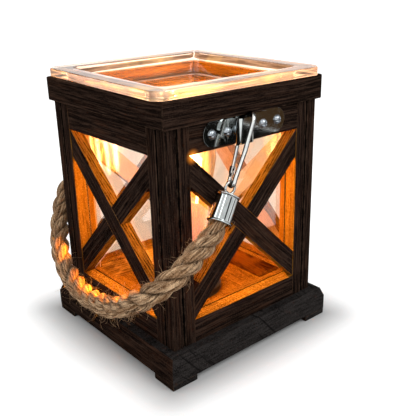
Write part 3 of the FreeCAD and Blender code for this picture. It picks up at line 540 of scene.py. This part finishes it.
def glowing_bulb_glass():
    """Amber envelope with the filament's light painted on as a glow, with a fine mottle and a hotter side.

    Its hot spot and the bright bars behind the filament are painted light too;
    the far limb glows less and is darker.
    """
    made, g = new_material("glowing_bulb_glass", Transmission_Weight=1.0, IOR=1.45, Roughness=0.03,
                           Emission_Strength=1.0, Specular_IOR_Level=0.2)
    place = place_of(g)
    height = g.parts(place)[2]
    mottle = g.between(g.noise(place, 700.0, 3.0, 0.7), 0.38, 0.62, 0.35, 1.1)
    glow = g.times(mottle, g.between(height, 0.060, 0.115, 0.15, 1.0))
    limb = g.between(g.dot(place, FAR_LIMB), 0.0160, 0.0190)
    swirls = g.between(g.grain(place, (60, 60, 150)), 0.40, 0.60)
    tint = g.blend(g.between(height, 0.085, 0.108), colour(0.90, 0.48, 0.20), colour(1.0, 0.82, 0.55))
    dusk = g.blend(swirls, colour(0.21, 0.105, 0.045), colour(0.54, 0.33, 0.17))
    g.look("Base Color", g.blend(g.times(limb, 0.9), tint, dusk))
    lit = g.times(glow, g.between(limb, 0.0, 1.0, 0.55, 0.10))
    warm = g.blend(lit, colour(0.03, 0.012, 0.004), colour(1.30, 0.66, 0.13))
    # painted highlight: a hot spot on the envelope
    spot = g.between(g.distance(place, HOT_SPOT), 0.004, 0.0075, 1.0, 0.0)
    warm = g.blend(spot, warm, colour(4.0, 2.6, 1.1))
    # painted light: bright bars of the filament behind, as emission
    ribs = g.between(g.math("SINE", g.dot(place, (610.0, -680.0, 0.0))), -0.1, 0.5)
    behind = g.times(g.between(g.dot(place, BEHIND_FILAMENT), 0.010, 0.014), g.between(height, 0.094, 0.102))
    warm = g.blend(behind, warm, g.blend(ribs, colour(3.2, 1.5, 0.25), colour(14.0, 11.0, 7.0)))
    g.look("Emission Color", warm)
    lets_light_through(g)
    return made


def glowing_filament():
    made, g = new_material("glowing_filament", Roughness=0.6, Emission_Strength=300.0)
    heat = g.between(g.noise(place_of(g), 700.0, 2.0), 0.3, 0.7)
    g.look("Base Color", g.blend(heat, colour(0.5, 0.25, 0.08), colour(0.6, 0.35, 0.15)))
    g.look("Emission Color", g.blend(heat, colour(1.0, 0.62, 0.24), colour(1.0, 0.74, 0.36)))
    return made


def polished_metal(name, tone, roughness, brushed=0.0, rim=None, rim_reach=(0.08, 0.32)):
    """Plated steel with faint handling marks.

    When a rim tone is given, a painted dark reflection darkens it where it turns away.
    """
    made, g = new_material(name, Metallic=1.0)
    marks, scratches = g.group(HANDLING, {"Vector": place_of(g)})
    soft = g.between(marks, 0.3, 0.8, roughness, roughness + 0.07)
    g.look("Roughness", g.math("ADD", soft, g.times(scratches, 0.08)))
    plated = g.blend(g.between(marks, 0.35, 0.75), tone, colour(*(0.8 * part for part in tone[:3])))
    # painted reflection: edges that turn away take a dark tone, for dark surroundings reflected there
    if rim:
        turned_away = g.add("LayerWeight", {"Blend": 0.5}).outputs["Facing"]
        plated = g.blend(g.between(turned_away, *rim_reach), plated, rim)
    g.look("Base Color", plated)
    g.bump(0.02 + brushed, 0.0002, marks)
    return made


def speckled_black(name, roughness, scale, low, high):
    made, g = new_material(name, Roughness=roughness)
    g.look("Base Color", g.blend(g.noise(place_of(g), scale, 2.0), low, high))
    return made


def jute_strands():
    """Twisted jute: fibres run along the rope on the surface of each strand."""
    made, g = new_material("jute_strands", Roughness=0.95, Specular_IOR_Level=0.1)
    place = place_of(g)
    u, v, w = g.parts(g.add("UVMap", uv_map="lay").outputs[0])
    turned = g.math("ADD", v, g.times(u, 45.0))

    def threads(along, across, detail):
        return g.noise(g.joined(g.times(u, along), g.times(turned, across), w), 1.0, detail, 0.65)

    fibres, yarns = threads(120.0, 17.0, 4.0), threads(60.0, 6.0, 2.0)
    mottle, flecks = g.noise(place, 160.0), g.noise(place, 1300.0, 3.0, 0.8)
    groove = g.add("Attribute", attribute_name="groove").outputs["Fac"]
    straw = g.blend(g.between(fibres, 0.42, 0.57), colour(0.036, 0.014, 0.005), colour(0.74, 0.49, 0.285))
    straw = g.blend(g.between(yarns, 0.44, 0.58, 0.0, 0.6), straw, colour(0.26, 0.122, 0.048))
    straw = g.blend(g.between(mottle, 0.45, 0.7, 0.0, 0.5), straw, colour(0.12, 0.054, 0.020))
    straw = g.blend(g.between(flecks, 0.50, 0.62, 0.0, 0.6), straw, colour(0.040, 0.017, 0.007))
    straw = g.blend(g.between(flecks, 0.34, 0.44, 0.35, 0.0), straw, colour(0.90, 0.70, 0.50))
    # painted shade: the strands darken on the side where they meet
    straw = g.blend(g.times(groove, 0.95, clamp=True), straw, colour(0.010, 0.005, 0.003))
    g.look("Base Color", straw)
    g.bump(1.0, 0.0016, g.math("ADD", g.times(fibres, 0.7), g.times(yarns, 0.6)))
    return made


def loose_jute_fibres():
    made, g = new_material("loose_jute_fibres", Roughness=0.9)
    tone = g.between(g.noise(place_of(g), 180.0, 2.0), 0.35, 0.65)
    g.look("Base Color", g.blend(tone, colour(0.16, 0.080, 0.034), colour(0.62, 0.38, 0.20)))
    return made


def brace_wood(name, level, way, **extra):
    """Wood of a brace that falls or rises to the right of the side it is on."""
    slant, rise = math.cos(WINDOW_SLOPE), way * math.sin(WINDOW_SLOPE)
    along = (slant * level[0], slant * level[1], rise)
    across = (-rise * level[0], -rise * level[1], slant)
    return stained_wood(name, along, across, "faces", saw_marks=1.0, gain=1.4, grit=0.4, **extra)


FALLS, RISES = -1, 1
WOOD = {
    "post": stained_wood("post_wood", UP, EAST, grooves=True),
    "stiles": stained_wood("stile_wood", UP, EAST, "faces", grooves=True, gain=0.8, bloom=True, grit=0.25),
    "rail_east": stained_wood("rail_wood_front", EAST, UP, "faces", saw_marks=0.25, grit=0.7, painted_light_tones=RAIL_SHADE),
    "rail_north": stained_wood("rail_wood_side", NORTH, UP, "faces", saw_marks=0.5, bloom=True, painted_light_tones=RAIL_SUN),
    "collar_east": stained_wood("collar_wood_front", EAST, UP, "walls"),
    "collar_north": stained_wood("collar_wood_side", NORTH, UP, "walls"),
    "base": stained_wood("base_wood", EAST, NORTH, "walls", saw_marks=0.1, ends=True),
    "feet": stained_wood("foot_wood", EAST, UP, ends=True),
    "fall_east": brace_wood("brace_wood_falling_front", EAST, FALLS),
    "rise_east": brace_wood("brace_wood_rising_front", EAST, RISES, haze=BRACE_HAZE),
    "fall_north": brace_wood("brace_wood_falling_side", NORTH, FALLS, bloom=True),
    "rise_north": brace_wood("brace_wood_rising_side", NORTH, RISES),
}
PANE_GLASS = window_glass()
DISH_GLASS = pressed_dish_glass()
BULB_GLASS = glowing_bulb_glass()
FILAMENT = glowing_filament()
# CHROME and WIRE carry a painted dark reflection at their turned-away edges
CHROME = polished_metal("polished_plating", colour(0.53, 0.56, 0.555), 0.03, 0.0, colour(0.070, 0.052, 0.040),
                        (0.40, 0.72))
WIRE = polished_metal("plated_wire", colour(0.84, 0.86, 0.84), 0.05, 0.1, colour(0.030, 0.024, 0.018))
ZINC = polished_metal("zinc_screw_plating", colour(0.42, 0.455, 0.49), 0.18, 0.1)
BRASS = polished_metal("lamp_brass", colour(0.72, 0.52, 0.25), 0.25, 0.1)
INSULATOR = speckled_black("black_insulator", 0.35, 500.0, colour(0.012, 0.011, 0.011),
                           colour(0.030, 0.027, 0.025))
RUBBER = speckled_black("black_rubber", 0.8, 800.0, colour(0.012, 0.012, 0.012), colour(0.028, 0.027, 0.026))
JUTE = jute_strands()
LOOSE_JUTE = loose_jute_fibres()


def placed(name, mesh, material=None):
    """A new object of the scene with the mesh and its finish."""
    if material:
        mesh.materials.clear()
        mesh.materials.append(material)
    piece = bpy.data.objects.new(name, mesh)
    bpy.context.scene.collection.objects.link(piece)
    return piece


def built(bm, name):
    """The mesh that the worked-out faces make."""
    mesh = bpy.data.meshes.new(name)
    bm.to_mesh(mesh)
    bm.free()
    return mesh


def plain_mesh(holder, name):
    """The mesh that a curve or a live modifier ends in; the object that held it goes."""
    graph = bpy.context.evaluated_depsgraph_get()
    mesh = bpy.data.meshes.new_from_object(holder.evaluated_get(graph))
    mesh.name = name
    bpy.data.objects.remove(holder)
    return mesh


def dressed(name, material, body="lantern", ease=0.0, steps=2, crease=35.0):
    """A merged copy of a CAD piece with softened edges and smooth rounds, which stands for it."""
    bm = bmesh.new()
    bm.from_mesh(NODES[name].data)
    bmesh.ops.remove_doubles(bm, verts=bm.verts, dist=1e-6)
    limit = math.radians(crease)
    if ease:
        bmesh.ops.dissolve_limit(bm, angle_limit=math.radians(0.4), verts=bm.verts, edges=bm.edges)
        sharp = [e for e in bm.edges if len(e.link_faces) == 2 and e.calc_face_angle() > limit]
        worn = bm.faces.layers.float.new("worn")
        made = bmesh.ops.bevel(bm, geom=sharp, offset=ease, segments=steps, profile=0.5, affect="EDGES",
                               clamp_overlap=True)
        for face in made["faces"]:
            face[worn] = 1.0
    eased = bm.faces.layers.float.get("worn")
    for face in bm.faces:
        face.smooth = True
    for edge in bm.edges:
        edge.smooth = len(edge.link_faces) == 2 and edge.calc_face_angle() < limit
        if eased and edge.smooth:
            first, second = edge.link_faces
            edge.smooth = first[eased] == second[eased]
    piece = placed(name + "_dressed", built(bm, name + "_dressed"), material)
    if material == CHROME:
        flat = piece.modifiers.new("flat_faces", "WEIGHTED_NORMAL")
        flat.keep_sharp = True
        flat.weight = 90
    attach(piece, body)
    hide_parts(name)
    return piece


def painted(name, material):
    """A CAD piece that keeps its own mesh and gets its finish."""
    mesh = NODES[name].data
    mesh.materials.clear()
    mesh.materials.append(material)


def wooden_pieces():
    dressed("base_board", WOOD["base"], ease=0.0009)
    dressed("feet", WOOD["feet"], ease=0.0006)
    for corner in ("front_right", "back_right", "back_left", "front_left"):
        dressed("post_" + corner, WOOD["post"], ease=0.0004)
    for side in SIDES:
        way = "east" if side in ("front", "back") else "north"
        falls = side in ("front", "right")
        dressed("stiles_" + side, WOOD["stiles"], ease=0.0004)
        dressed("rail_top_" + side, WOOD["rail_" + way], ease=0.0003)
        dressed("rail_bottom_" + side, WOOD["rail_" + way], ease=0.0003)
        dressed("collar_" + side, WOOD["collar_" + way], ease=0.0007)
        dressed("brace_long_" + side, WOOD[("fall_" if falls else "rise_") + way], ease=0.0004)
        dressed("brace_short_" + side, WOOD[("rise_" if falls else "fall_") + way], ease=0.0004)
        dressed("pane_" + side, PANE_GLASS)


def cap_way(side):
    """The way a rope cap points: down, forwards by its lean and a little outwards."""
    flat = math.cos(CAP_SPLAY)
    lean = CAP_LEAN[side]
    return Vector((math.sin(CAP_SPLAY), -flat * math.sin(lean), -flat * math.cos(lean)))


def turned_mesh(bm, profile, centre, way, steps=72):
    """Adds the solid that the profile of distances along and from the axis sweeps round it."""
    side = way.orthogonal().normalized()
    up = way.cross(side)
    turn = [2 * math.pi * k / steps for k in range(steps)]
    spokes = [side * math.cos(t) + up * math.sin(t) for t in turn]
    rows = []
    for along, radius in profile:
        middle = centre + way * along
        if radius:
            rows.append([bm.verts.new(middle + spoke * radius) for spoke in spokes])
        else:
            rows.append([bm.verts.new(middle)])
    for low, high in zip(rows, rows[1:]):
        for k in range(steps):
            around = [(low, k), (low, k + 1), (high, k + 1), (high, k)]
            bm.faces.new(list(dict.fromkeys(row[place % len(row)] for row, place in around)))


def ring_mesh(bm, centre, steps=48, sides=16):
    """Adds the round ring on a cap's closed end, which stands across the lantern."""
    turn = [2 * math.pi * k / sides for k in range(sides)]
    rows = []
    for i in range(steps):
        around = 2 * math.pi * i / steps
        out = Vector((0, math.cos(around), math.sin(around)))
        rows.append([bm.verts.new(centre + out * (RING_RADIUS + RING_WIRE_RADIUS * math.cos(t))
                                  + Vector((RING_WIRE_RADIUS * math.sin(t), 0, 0))) for t in turn])
    for low, high in zip(rows, rows[1:] + rows[:1]):
        for k in range(sides):
            after = (k + 1) % sides
            bm.faces.new([low[k], high[k], high[after], low[after]])


def rope_cap(side):
    """Turned cup with a rolled rim at each end and the ring on its closed end."""
    mirror = Vector((1 if side == "right" else -1, 1, 1))
    way, centre = cap_way(side) * mirror, RING_CENTRE * mirror
    start, mouth = CAP_REACH
    profile = [(start, 0)] + [(start + along, radius) for along, radius in CAP_RIM]
    profile += [(mouth - along, radius) for along, radius in reversed(CAP_RIM)]
    profile += [(mouth - along, radius) for along, radius in CAP_LIP]
    profile += [(start + CAP_FLOOR, CAP_BORE), (start + CAP_FLOOR, 0)]
    bm = bmesh.new()
    turned_mesh(bm, profile, centre, way)
    ring_mesh(bm, centre)
    bmesh.ops.recalc_face_normals(bm, faces=bm.faces)
    for face in bm.faces:
        face.smooth = True
    for edge in bm.edges:
        edge.smooth = edge.calc_face_angle() < math.radians(50)
    piece = placed("rope_cap_turned_" + side, built(bm, "rope_cap_turned_" + side), CHROME)
    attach(piece, "handle")
    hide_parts("rope_cap_" + side)


def metal_pieces():
    for side in ("right", "left"):
        dressed("bracket_plate_" + side, CHROME, ease=0.0003)
        dressed("strap_loop_" + side, CHROME)
        dressed("hook_" + side, WIRE, side + "_hook")
        dressed("gate_" + side, WIRE, side + "_gate")
        rope_cap(side)
    dressed("bracket_screws", ZINC, ease=0.00012)


def bulb_and_socket():
    dressed("bulb_glass", BULB_GLASS, "bulb", crease=60.0)
    dressed("bulb_stem", BULB_GLASS, "bulb", crease=60.0)
    dressed("bulb_cap", BRASS, "bulb")
    painted("bulb_contact", INSULATOR)
    painted("bulb_supports", BRASS)
    dressed("socket_body", INSULATOR, ease=0.0005)
    painted("socket_sleeve", BRASS)
    painted("socket_contact", BRASS)
    painted("socket_screws", ZINC)
    painted("base_screws", ZINC)
    painted("cord_grommet", RUBBER)


def hot_wire():
    """The cage filament as one bent wire, a little thicker than the bare wire because it is coiled."""
    low, high = (corner.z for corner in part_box("bulb_filament"))
    curve = bpy.data.curves.new("hot_wire", "CURVE")
    curve.dimensions = "3D"
    curve.bevel_depth = CAGE_WIRE_RADIUS
    curve.bevel_resolution = 2
    spline = curve.splines.new("POLY")
    spline.points.add(2 * CAGE_WIRES - 3)
    for index in range(CAGE_WIRES - 1):
        for end in (0, 1):
            angle = 2 * math.pi * (index + end) / CAGE_WIRES
            height = high - CAGE_INSET if (index + end) % 2 else low + CAGE_INSET
            spline.points[2 * index + end].co = (CAGE_RADIUS * math.cos(angle), CAGE_RADIUS * math.sin(angle),
                                                 height, 1)
    wire = placed("filament_wire", plain_mesh(placed("hot_wire_curve", curve), "hot_wire"), FILAMENT)
    wire.visible_diffuse = False
    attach(wire, "bulb")
    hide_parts("bulb_filament")


def rope_route():
    """The route's points: out of the right cap, round the front and into the left cap."""
    right, left = cap_way("right"), cap_way("left")
    starts = [RING_CENTRE + right * ROPE_INSIDE_CAP, RING_CENTRE + right * ROPE_OUT_OF_CAP]
    home = [RING_CENTRE + left * ROPE_OUT_OF_CAP, RING_CENTRE + left * ROPE_INSIDE_CAP]
    return starts + [Vector(p) for p in ROPE_ROUTE] + [Vector((-p.x, p.y, p.z)) for p in home]


def smooth_line(points):
    """Points of the smooth line that has the route's points as its control points."""
    curve = bpy.data.curves.new("rope_route", "CURVE")
    curve.dimensions = "3D"
    curve.resolution_u = 24
    spline = curve.splines.new("NURBS")
    spline.points.add(len(points) - 1)
    for point, place in zip(spline.points, points):
        point.co = (place.x, place.y, place.z, 1)
    spline.order_u = 3
    spline.use_endpoint_u = True
    mesh = plain_mesh(placed("rope_route", curve), "rope_route")
    line = np.array([v.co for v in mesh.vertices], float)
    bpy.data.meshes.remove(mesh)
    return line


def even_steps(line, step):
    lengths = np.concatenate([[0], np.cumsum(np.linalg.norm(np.diff(line, axis=0), axis=1))])
    places = np.linspace(0, lengths[-1], int(round(lengths[-1] / step)) + 1)
    return np.stack([np.interp(places, lengths, line[:, k]) for k in range(3)], 1), places


def carried_frames(line):
    """A side and an up direction at each point, carried along the line without twist."""
    ways = np.gradient(line, axis=0)
    ways /= np.linalg.norm(ways, axis=1)[:, None]
    side = np.cross(ways[0], (0, 0, 1.0))
    side /= np.linalg.norm(side)
    sides = [side]
    for way in ways[1:]:
        side = side - way * side.dot(way)
        side /= np.linalg.norm(side)
        sides.append(side)
    sides = np.array(sides)
    return sides, np.cross(ways, sides)


def rope_strands():
    """Three twisted strands round the rope's smooth line, with their own lay as a map."""
    line, places = even_steps(smooth_line(rope_route()), ROPE_STEP)
    sides, ups = carried_frames(line)
    rng = np.random.default_rng(STRAND_SEED)
    squeeze = np.interp(np.minimum(places, places[-1] - places), NIP_REACH, NIP)
    verts, faces, uvs, grooves = [], [], [], []
    for strand in range(3):
        turn = 2 * math.pi * (places / ROPE_LAY + strand / 3)
        wobbles = rng.normal(0, STRAND_WOBBLE, STRAND_WOBBLES)
        wobble = np.interp(places, np.linspace(0, places[-1], STRAND_WOBBLES), wobbles)
        orbit = (STRAND_ORBIT + wobble) * squeeze
        out = sides * np.cos(turn)[:, None] + ups * np.sin(turn)[:, None]
        middle = line + out * orbit[:, None]
        way = np.gradient(middle, axis=0)
        way /= np.linalg.norm(way, axis=1)[:, None]
        out = out - way * np.sum(out * way, 1)[:, None]
        out /= np.linalg.norm(out, axis=1)[:, None]
        flank = np.cross(way, out)
        first = len(verts)
        for i in range(len(line)):
            for k in range(STRAND_SIDES):
                angle = 2 * math.pi * k / STRAND_SIDES + math.pi
                swell = 1 + STRAND_SWELL * math.sin(3 * angle + 900 * places[i] + strand)
                radius = squeeze[i] * STRAND_RADIUS * swell
                verts.append(middle[i] + radius * (out[i] * math.cos(angle) + flank[i] * math.sin(angle)))
                # share of painted shade on each strand's inner side, where the strands meet
                grooves.append(min(1.0, max(0.0, 0.42 - 1.25 * math.cos(angle))))
        for i in range(len(line) - 1):
            u0, u1 = (place + 3.0 * strand for place in places[i:i + 2])
            for k in range(STRAND_SIDES):
                low, high = k / STRAND_SIDES, (k + 1) / STRAND_SIDES
                a = first + i * STRAND_SIDES + k
                b = first + i * STRAND_SIDES + (k + 1) % STRAND_SIDES
                faces.append((a, b, b + STRAND_SIDES, a + STRAND_SIDES))
                uvs += [(u0, low), (u0, high), (u1, high), (u1, low)]
        last = first + (len(line) - 1) * STRAND_SIDES
        faces.append(tuple(first + k for k in reversed(range(STRAND_SIDES))))
        faces.append(tuple(last + k for k in range(STRAND_SIDES)))
        uvs += [(places[0], 0.5)] * STRAND_SIDES + [(places[-1], 0.5)] * STRAND_SIDES
    mesh = bpy.data.meshes.new("rope_strands")
    mesh.from_pydata([tuple(v) for v in verts], [], faces)
    mesh.uv_layers.new(name="lay").data.foreach_set("uv", np.array(uvs, np.float32).ravel())
    mesh.attributes.new("groove", "FLOAT", "POINT").data.foreach_set("value", np.array(grooves, np.float32))
    mesh.polygons.foreach_set("use_smooth", [True] * len(mesh.polygons))
    return placed("rope_strands", mesh, JUTE), line, places[-1]


def loose_fibre_tree():
    """Scatters short bent fibres over the rope's surface."""
    tree, g, given, out = new_group(
        "loose_fibres", ["Geometry: Geometry", "Density", "Length", "Thickness", "Material: Material"],
        ["Geometry: Geometry"], "Geometry")
    tree.is_modifier = True
    points = g.add("GeometryNodeDistributePointsOnFaces",
                   {"Mesh": given["Geometry"], "Density": given["Density"], "Seed": 11})
    fibre = g.add("GeometryNodeCurveQuadraticBezier", {"Resolution": 6, "Start": (0, 0, -0.08),
                                                       "Middle": (0.35, 0.1, 0.55), "End": (0.9, 0.0, 0.45)})
    thick = g.add("ShaderNodeMath", {0: given["Thickness"], 1: given["Length"]}, operation="DIVIDE")
    ring = g.add("GeometryNodeCurvePrimitiveCircle", {"Resolution": 3, "Radius": thick.outputs[0]})
    tube = g.add("GeometryNodeCurveToMesh", {"Curve": fibre.outputs[0], "Profile Curve": ring.outputs[0]})
    lean = g.add("FunctionNodeRandomValue", {0: (-0.7, -0.7, -3.14), 1: (0.7, 0.7, 3.14), "Seed": 3},
                 data_type="FLOAT_VECTOR")
    turn = g.add("FunctionNodeRotateRotation", {0: points.outputs["Rotation"], 1: lean.outputs[0]},
                 rotation_space="LOCAL")
    share = g.add("FunctionNodeRandomValue", {2: 0.25, 3: 1.0, "Seed": 8}, data_type="FLOAT")
    long = g.add("ShaderNodeMath", {0: share.outputs[1], 1: given["Length"]}, operation="MULTIPLY")
    spread = g.add("GeometryNodeInstanceOnPoints",
                   {"Points": points.outputs["Points"], "Instance": tube.outputs[0],
                    "Rotation": turn.outputs[0], "Scale": long.outputs[0]})
    real = g.add("GeometryNodeRealizeInstances", {0: spread.outputs[0]})
    finished = g.add("GeometryNodeSetMaterial", {0: real.outputs[0], "Material": given["Material"]})
    g.feed(out["Geometry"], finished.outputs[0])
    return tree


def loose_fibres(source, tree, name, measures):
    holder = placed("fibre_source", source.data.copy())
    modifier = holder.modifiers.new("fibres", "NODES")
    modifier.node_group = tree
    values = {**measures, "Material": LOOSE_JUTE}
    for item in tree.interface.items_tree:
        if item.in_out == "INPUT" and item.name in values:
            modifier[item.identifier] = values[item.name]
    piece = placed(name, plain_mesh(holder, name))
    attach(piece, "handle")
    return piece


def rope_handle():
    strands, line, length = rope_strands()
    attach(strands, "handle")
    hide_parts("rope")
    tree = loose_fibre_tree()
    fuzz = loose_fibres(strands, tree, "rope_fuzz", FUZZ)
    strays = loose_fibres(strands, tree, "rope_strays", STRAYS)


def photo_camera():
    yaw, pitch, roll = (math.radians(angle) for angle in CAMERA_TURN)
    look = Vector((-math.sin(yaw) * math.cos(pitch), math.cos(yaw) * math.cos(pitch), -math.sin(pitch)))
    level = Vector((math.cos(yaw), math.sin(yaw), 0))
    above = level.cross(look)
    right = math.cos(roll) * level + math.sin(roll) * above
    top = -math.sin(roll) * level + math.cos(roll) * above
    data = bpy.data.cameras.new("photo_camera")
    data.sensor_width = 36.0
    data.lens = CAMERA_LENS
    data.clip_start = 0.02
    camera = placed("photo_camera", data)
    camera.matrix_world = Matrix.Translation(CAMERA_PLACE) @ Matrix((right, top, -look)).transposed().to_4x4()
    bpy.context.scene.camera = camera


def soft_box(name, place, size, power, aim=(0, 0, 0.1), tint=(1.0, 1.0, 1.0)):
    data = bpy.data.lights.new(name, "AREA")
    data.shape = "RECTANGLE"
    data.size, data.size_y = size
    data.energy = power
    data.color = tint
    lamp = placed(name, data)
    lamp.location = place
    lamp.rotation_mode = "QUATERNION"
    lamp.rotation_quaternion = (Vector(aim) - Vector(place)).to_track_quat("-Z", "Y")


def lamp_in_bulb(name, power, tint, size, lit_pieces):
    data = bpy.data.lights.new(name, "POINT")
    data.energy = power
    data.color = tint
    data.shadow_soft_size = size
    lamp = placed(name, data)
    lamp.location = LAMP_CENTRE
    lamp.visible_camera = False
    lamp.visible_glossy = False
    lamp.visible_transmission = False
    lit = bpy.data.collections.new("lit_by_" + name)
    for piece in lit_pieces:
        lit.objects.link(piece)
    lamp.light_linking.receiver_collection = lit


def bulb_light():
    """The bulb's warm light on every piece but the studio floor, and its stronger glow on the rope."""
    rope = [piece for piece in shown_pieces() if piece.name.startswith("rope_")]
    rest = [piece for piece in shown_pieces() if piece not in rope]
    lamp_in_bulb("bulb_light", 2.0, (1.0, 0.52, 0.11), 0.011, rest)
    lamp_in_bulb("bulb_glow_on_rope", 8.0, (1.0, 0.36, 0.0), 0.028, rope)


def seen_share(g):
    """One for light that is seen straight, in metal or through glass, and nothing for light that falls."""
    rays = g.add("LightPath").outputs
    return g.larger(g.larger(rays["Is Camera Ray"], rays["Is Glossy Ray"]), rays["Is Transmission Ray"])


def flat_sheet(name, corners):
    """A four-cornered sheet of the studio with its own dull material."""
    mesh = bpy.data.meshes.new(name)
    mesh.from_pydata(corners, [], [(0, 1, 2, 3)])
    made, g = new_material(name, Roughness=1.0, Specular_IOR_Level=0.0)
    sheet = placed(name, mesh, made)
    sheet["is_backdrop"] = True
    return sheet, g


def studio_floor():
    """Pale floor that turns white away from the lantern and keeps its shadow, with painted shadow round the
    plinth.
    """
    corners = [(-1, -1), (1, -1), (1, 1), (-1, 1)]
    _, g = flat_sheet("studio_floor", [(x * FLOOR_REACH, y * FLOOR_REACH, 0) for x, y in corners])
    past = [g.larger(g.math("SUBTRACT", g.size(part), PLINTH_HALF), 0.0) for part in g.parts(place_of(g))[:2]]
    away = g.add("VectorMath", {0: g.joined(*past)}, operation="LENGTH").outputs["Value"]
    # painted shadow: the lift is nil at the plinth and grows over the next 8 cm
    lift = g.math("ADD", g.between(away, 0.002, 0.036, 0.0, 0.47), g.between(away, 0.015, 0.080, 0.0, 0.16))
    g.look("Emission Strength", g.times(seen_share(g), lift))
    # painted shadow: a darker floor colour within about 2 cm of the plinth
    tone = g.blend(g.between(away, 0.001, 0.022), colour(0.55, 0.55, 0.55), colour(0.72, 0.72, 0.72))
    g.look("Base Color", tone)


def card(name, corners, tone, through_panes=False):
    """A dark card seen only in reflections, in polished metal and in the panes: a painted dark reflection.

    A pane's inner face reflects too, and its light leaves the glass as transmitted light, so the cards
    next to the lantern are shown to such light.
    """
    sheet, g = flat_sheet(name, corners)
    g.look("Base Color", tone)
    for ray in ("camera", "diffuse", "shadow"):
        setattr(sheet, "visible_" + ray, False)
    sheet.visible_transmission = through_panes


def floor_card(name, x, y, tone, through_panes=False):
    corners = [(x[0], y[0]), (x[1], y[0]), (x[1], y[1]), (x[0], y[1])]
    card(name, [corner + (CARD_LIFT,) for corner in corners], tone, through_panes)


def wall_card(name, x, y, z, tone):
    card(name, [(x, y[0], z[0]), (x, y[1], z[0]), (x, y[1], z[1]), (x, y[0], z[1])], tone)


def reflection_cards():
    """Cards for painted dark reflections: on the floor beside the lantern, and two that stand."""
    floor_card("black_card", (0.33, 0.74), (0.02, 0.475), colour(0.006, 0.006, 0.005))
    floor_card("near_card", (0.086, 0.19), (-0.08, 0.22), colour(0.010, 0.006, 0.004), True)
    floor_card("brown_card", (0.30, 0.80), (0.48, 0.90), colour(0.075, 0.042, 0.020))
    floor_card("front_card", (-0.18, 0.62), (-0.80, -0.23), colour(0.008, 0.008, 0.007))
    floor_card("ledge_card", (-0.18, 0.62), (-0.23, -0.095), colour(0.008, 0.008, 0.007), True)
    wall_card("standing_card", 0.85, (0.05, 0.20), (0.12, 0.82), colour(0.008, 0.007, 0.006))
    wall_card("left_card", -0.78, (-0.85, 0.10), (0.15, 1.10), colour(0.010, 0.010, 0.009))


def white_studio():
    world = bpy.data.worlds.new("white_studio")
    bpy.context.scene.world = world
    world.use_nodes = True
    g = Graph(world.node_tree)
    back = world.node_tree.nodes["Background"]
    back.inputs["Color"].default_value = colour(1.0, 1.0, 1.0)
    g.feed(back.inputs["Strength"], g.between(seen_share(g), 0.0, 1.0, 0.72, 1.0))
    soft_box("window_box", (-0.5, -1.0, 1.2), (0.9, 0.9), 4.0)
    soft_box("side_box", (1.2, 0.3, 1.2), (0.8, 0.8), 9.0)
    soft_box("strip_box", (0.67, -0.76, 1.14), (0.16, 0.7), 1.6, (0.08, -0.035, 0.118), (0.93, 1.0, 1.0))


photo_camera()
rope_handle()
wooden_pieces()
dressed("dish", DISH_GLASS, "wax_dish", ease=0.0009, steps=3, crease=30.0)
bulb_and_socket()
hot_wire()
metal_pieces()
studio_floor()
white_studio()
reflection_cards()
bulb_light()
bpy.context.scene.view_settings.view_transform = "Standard"
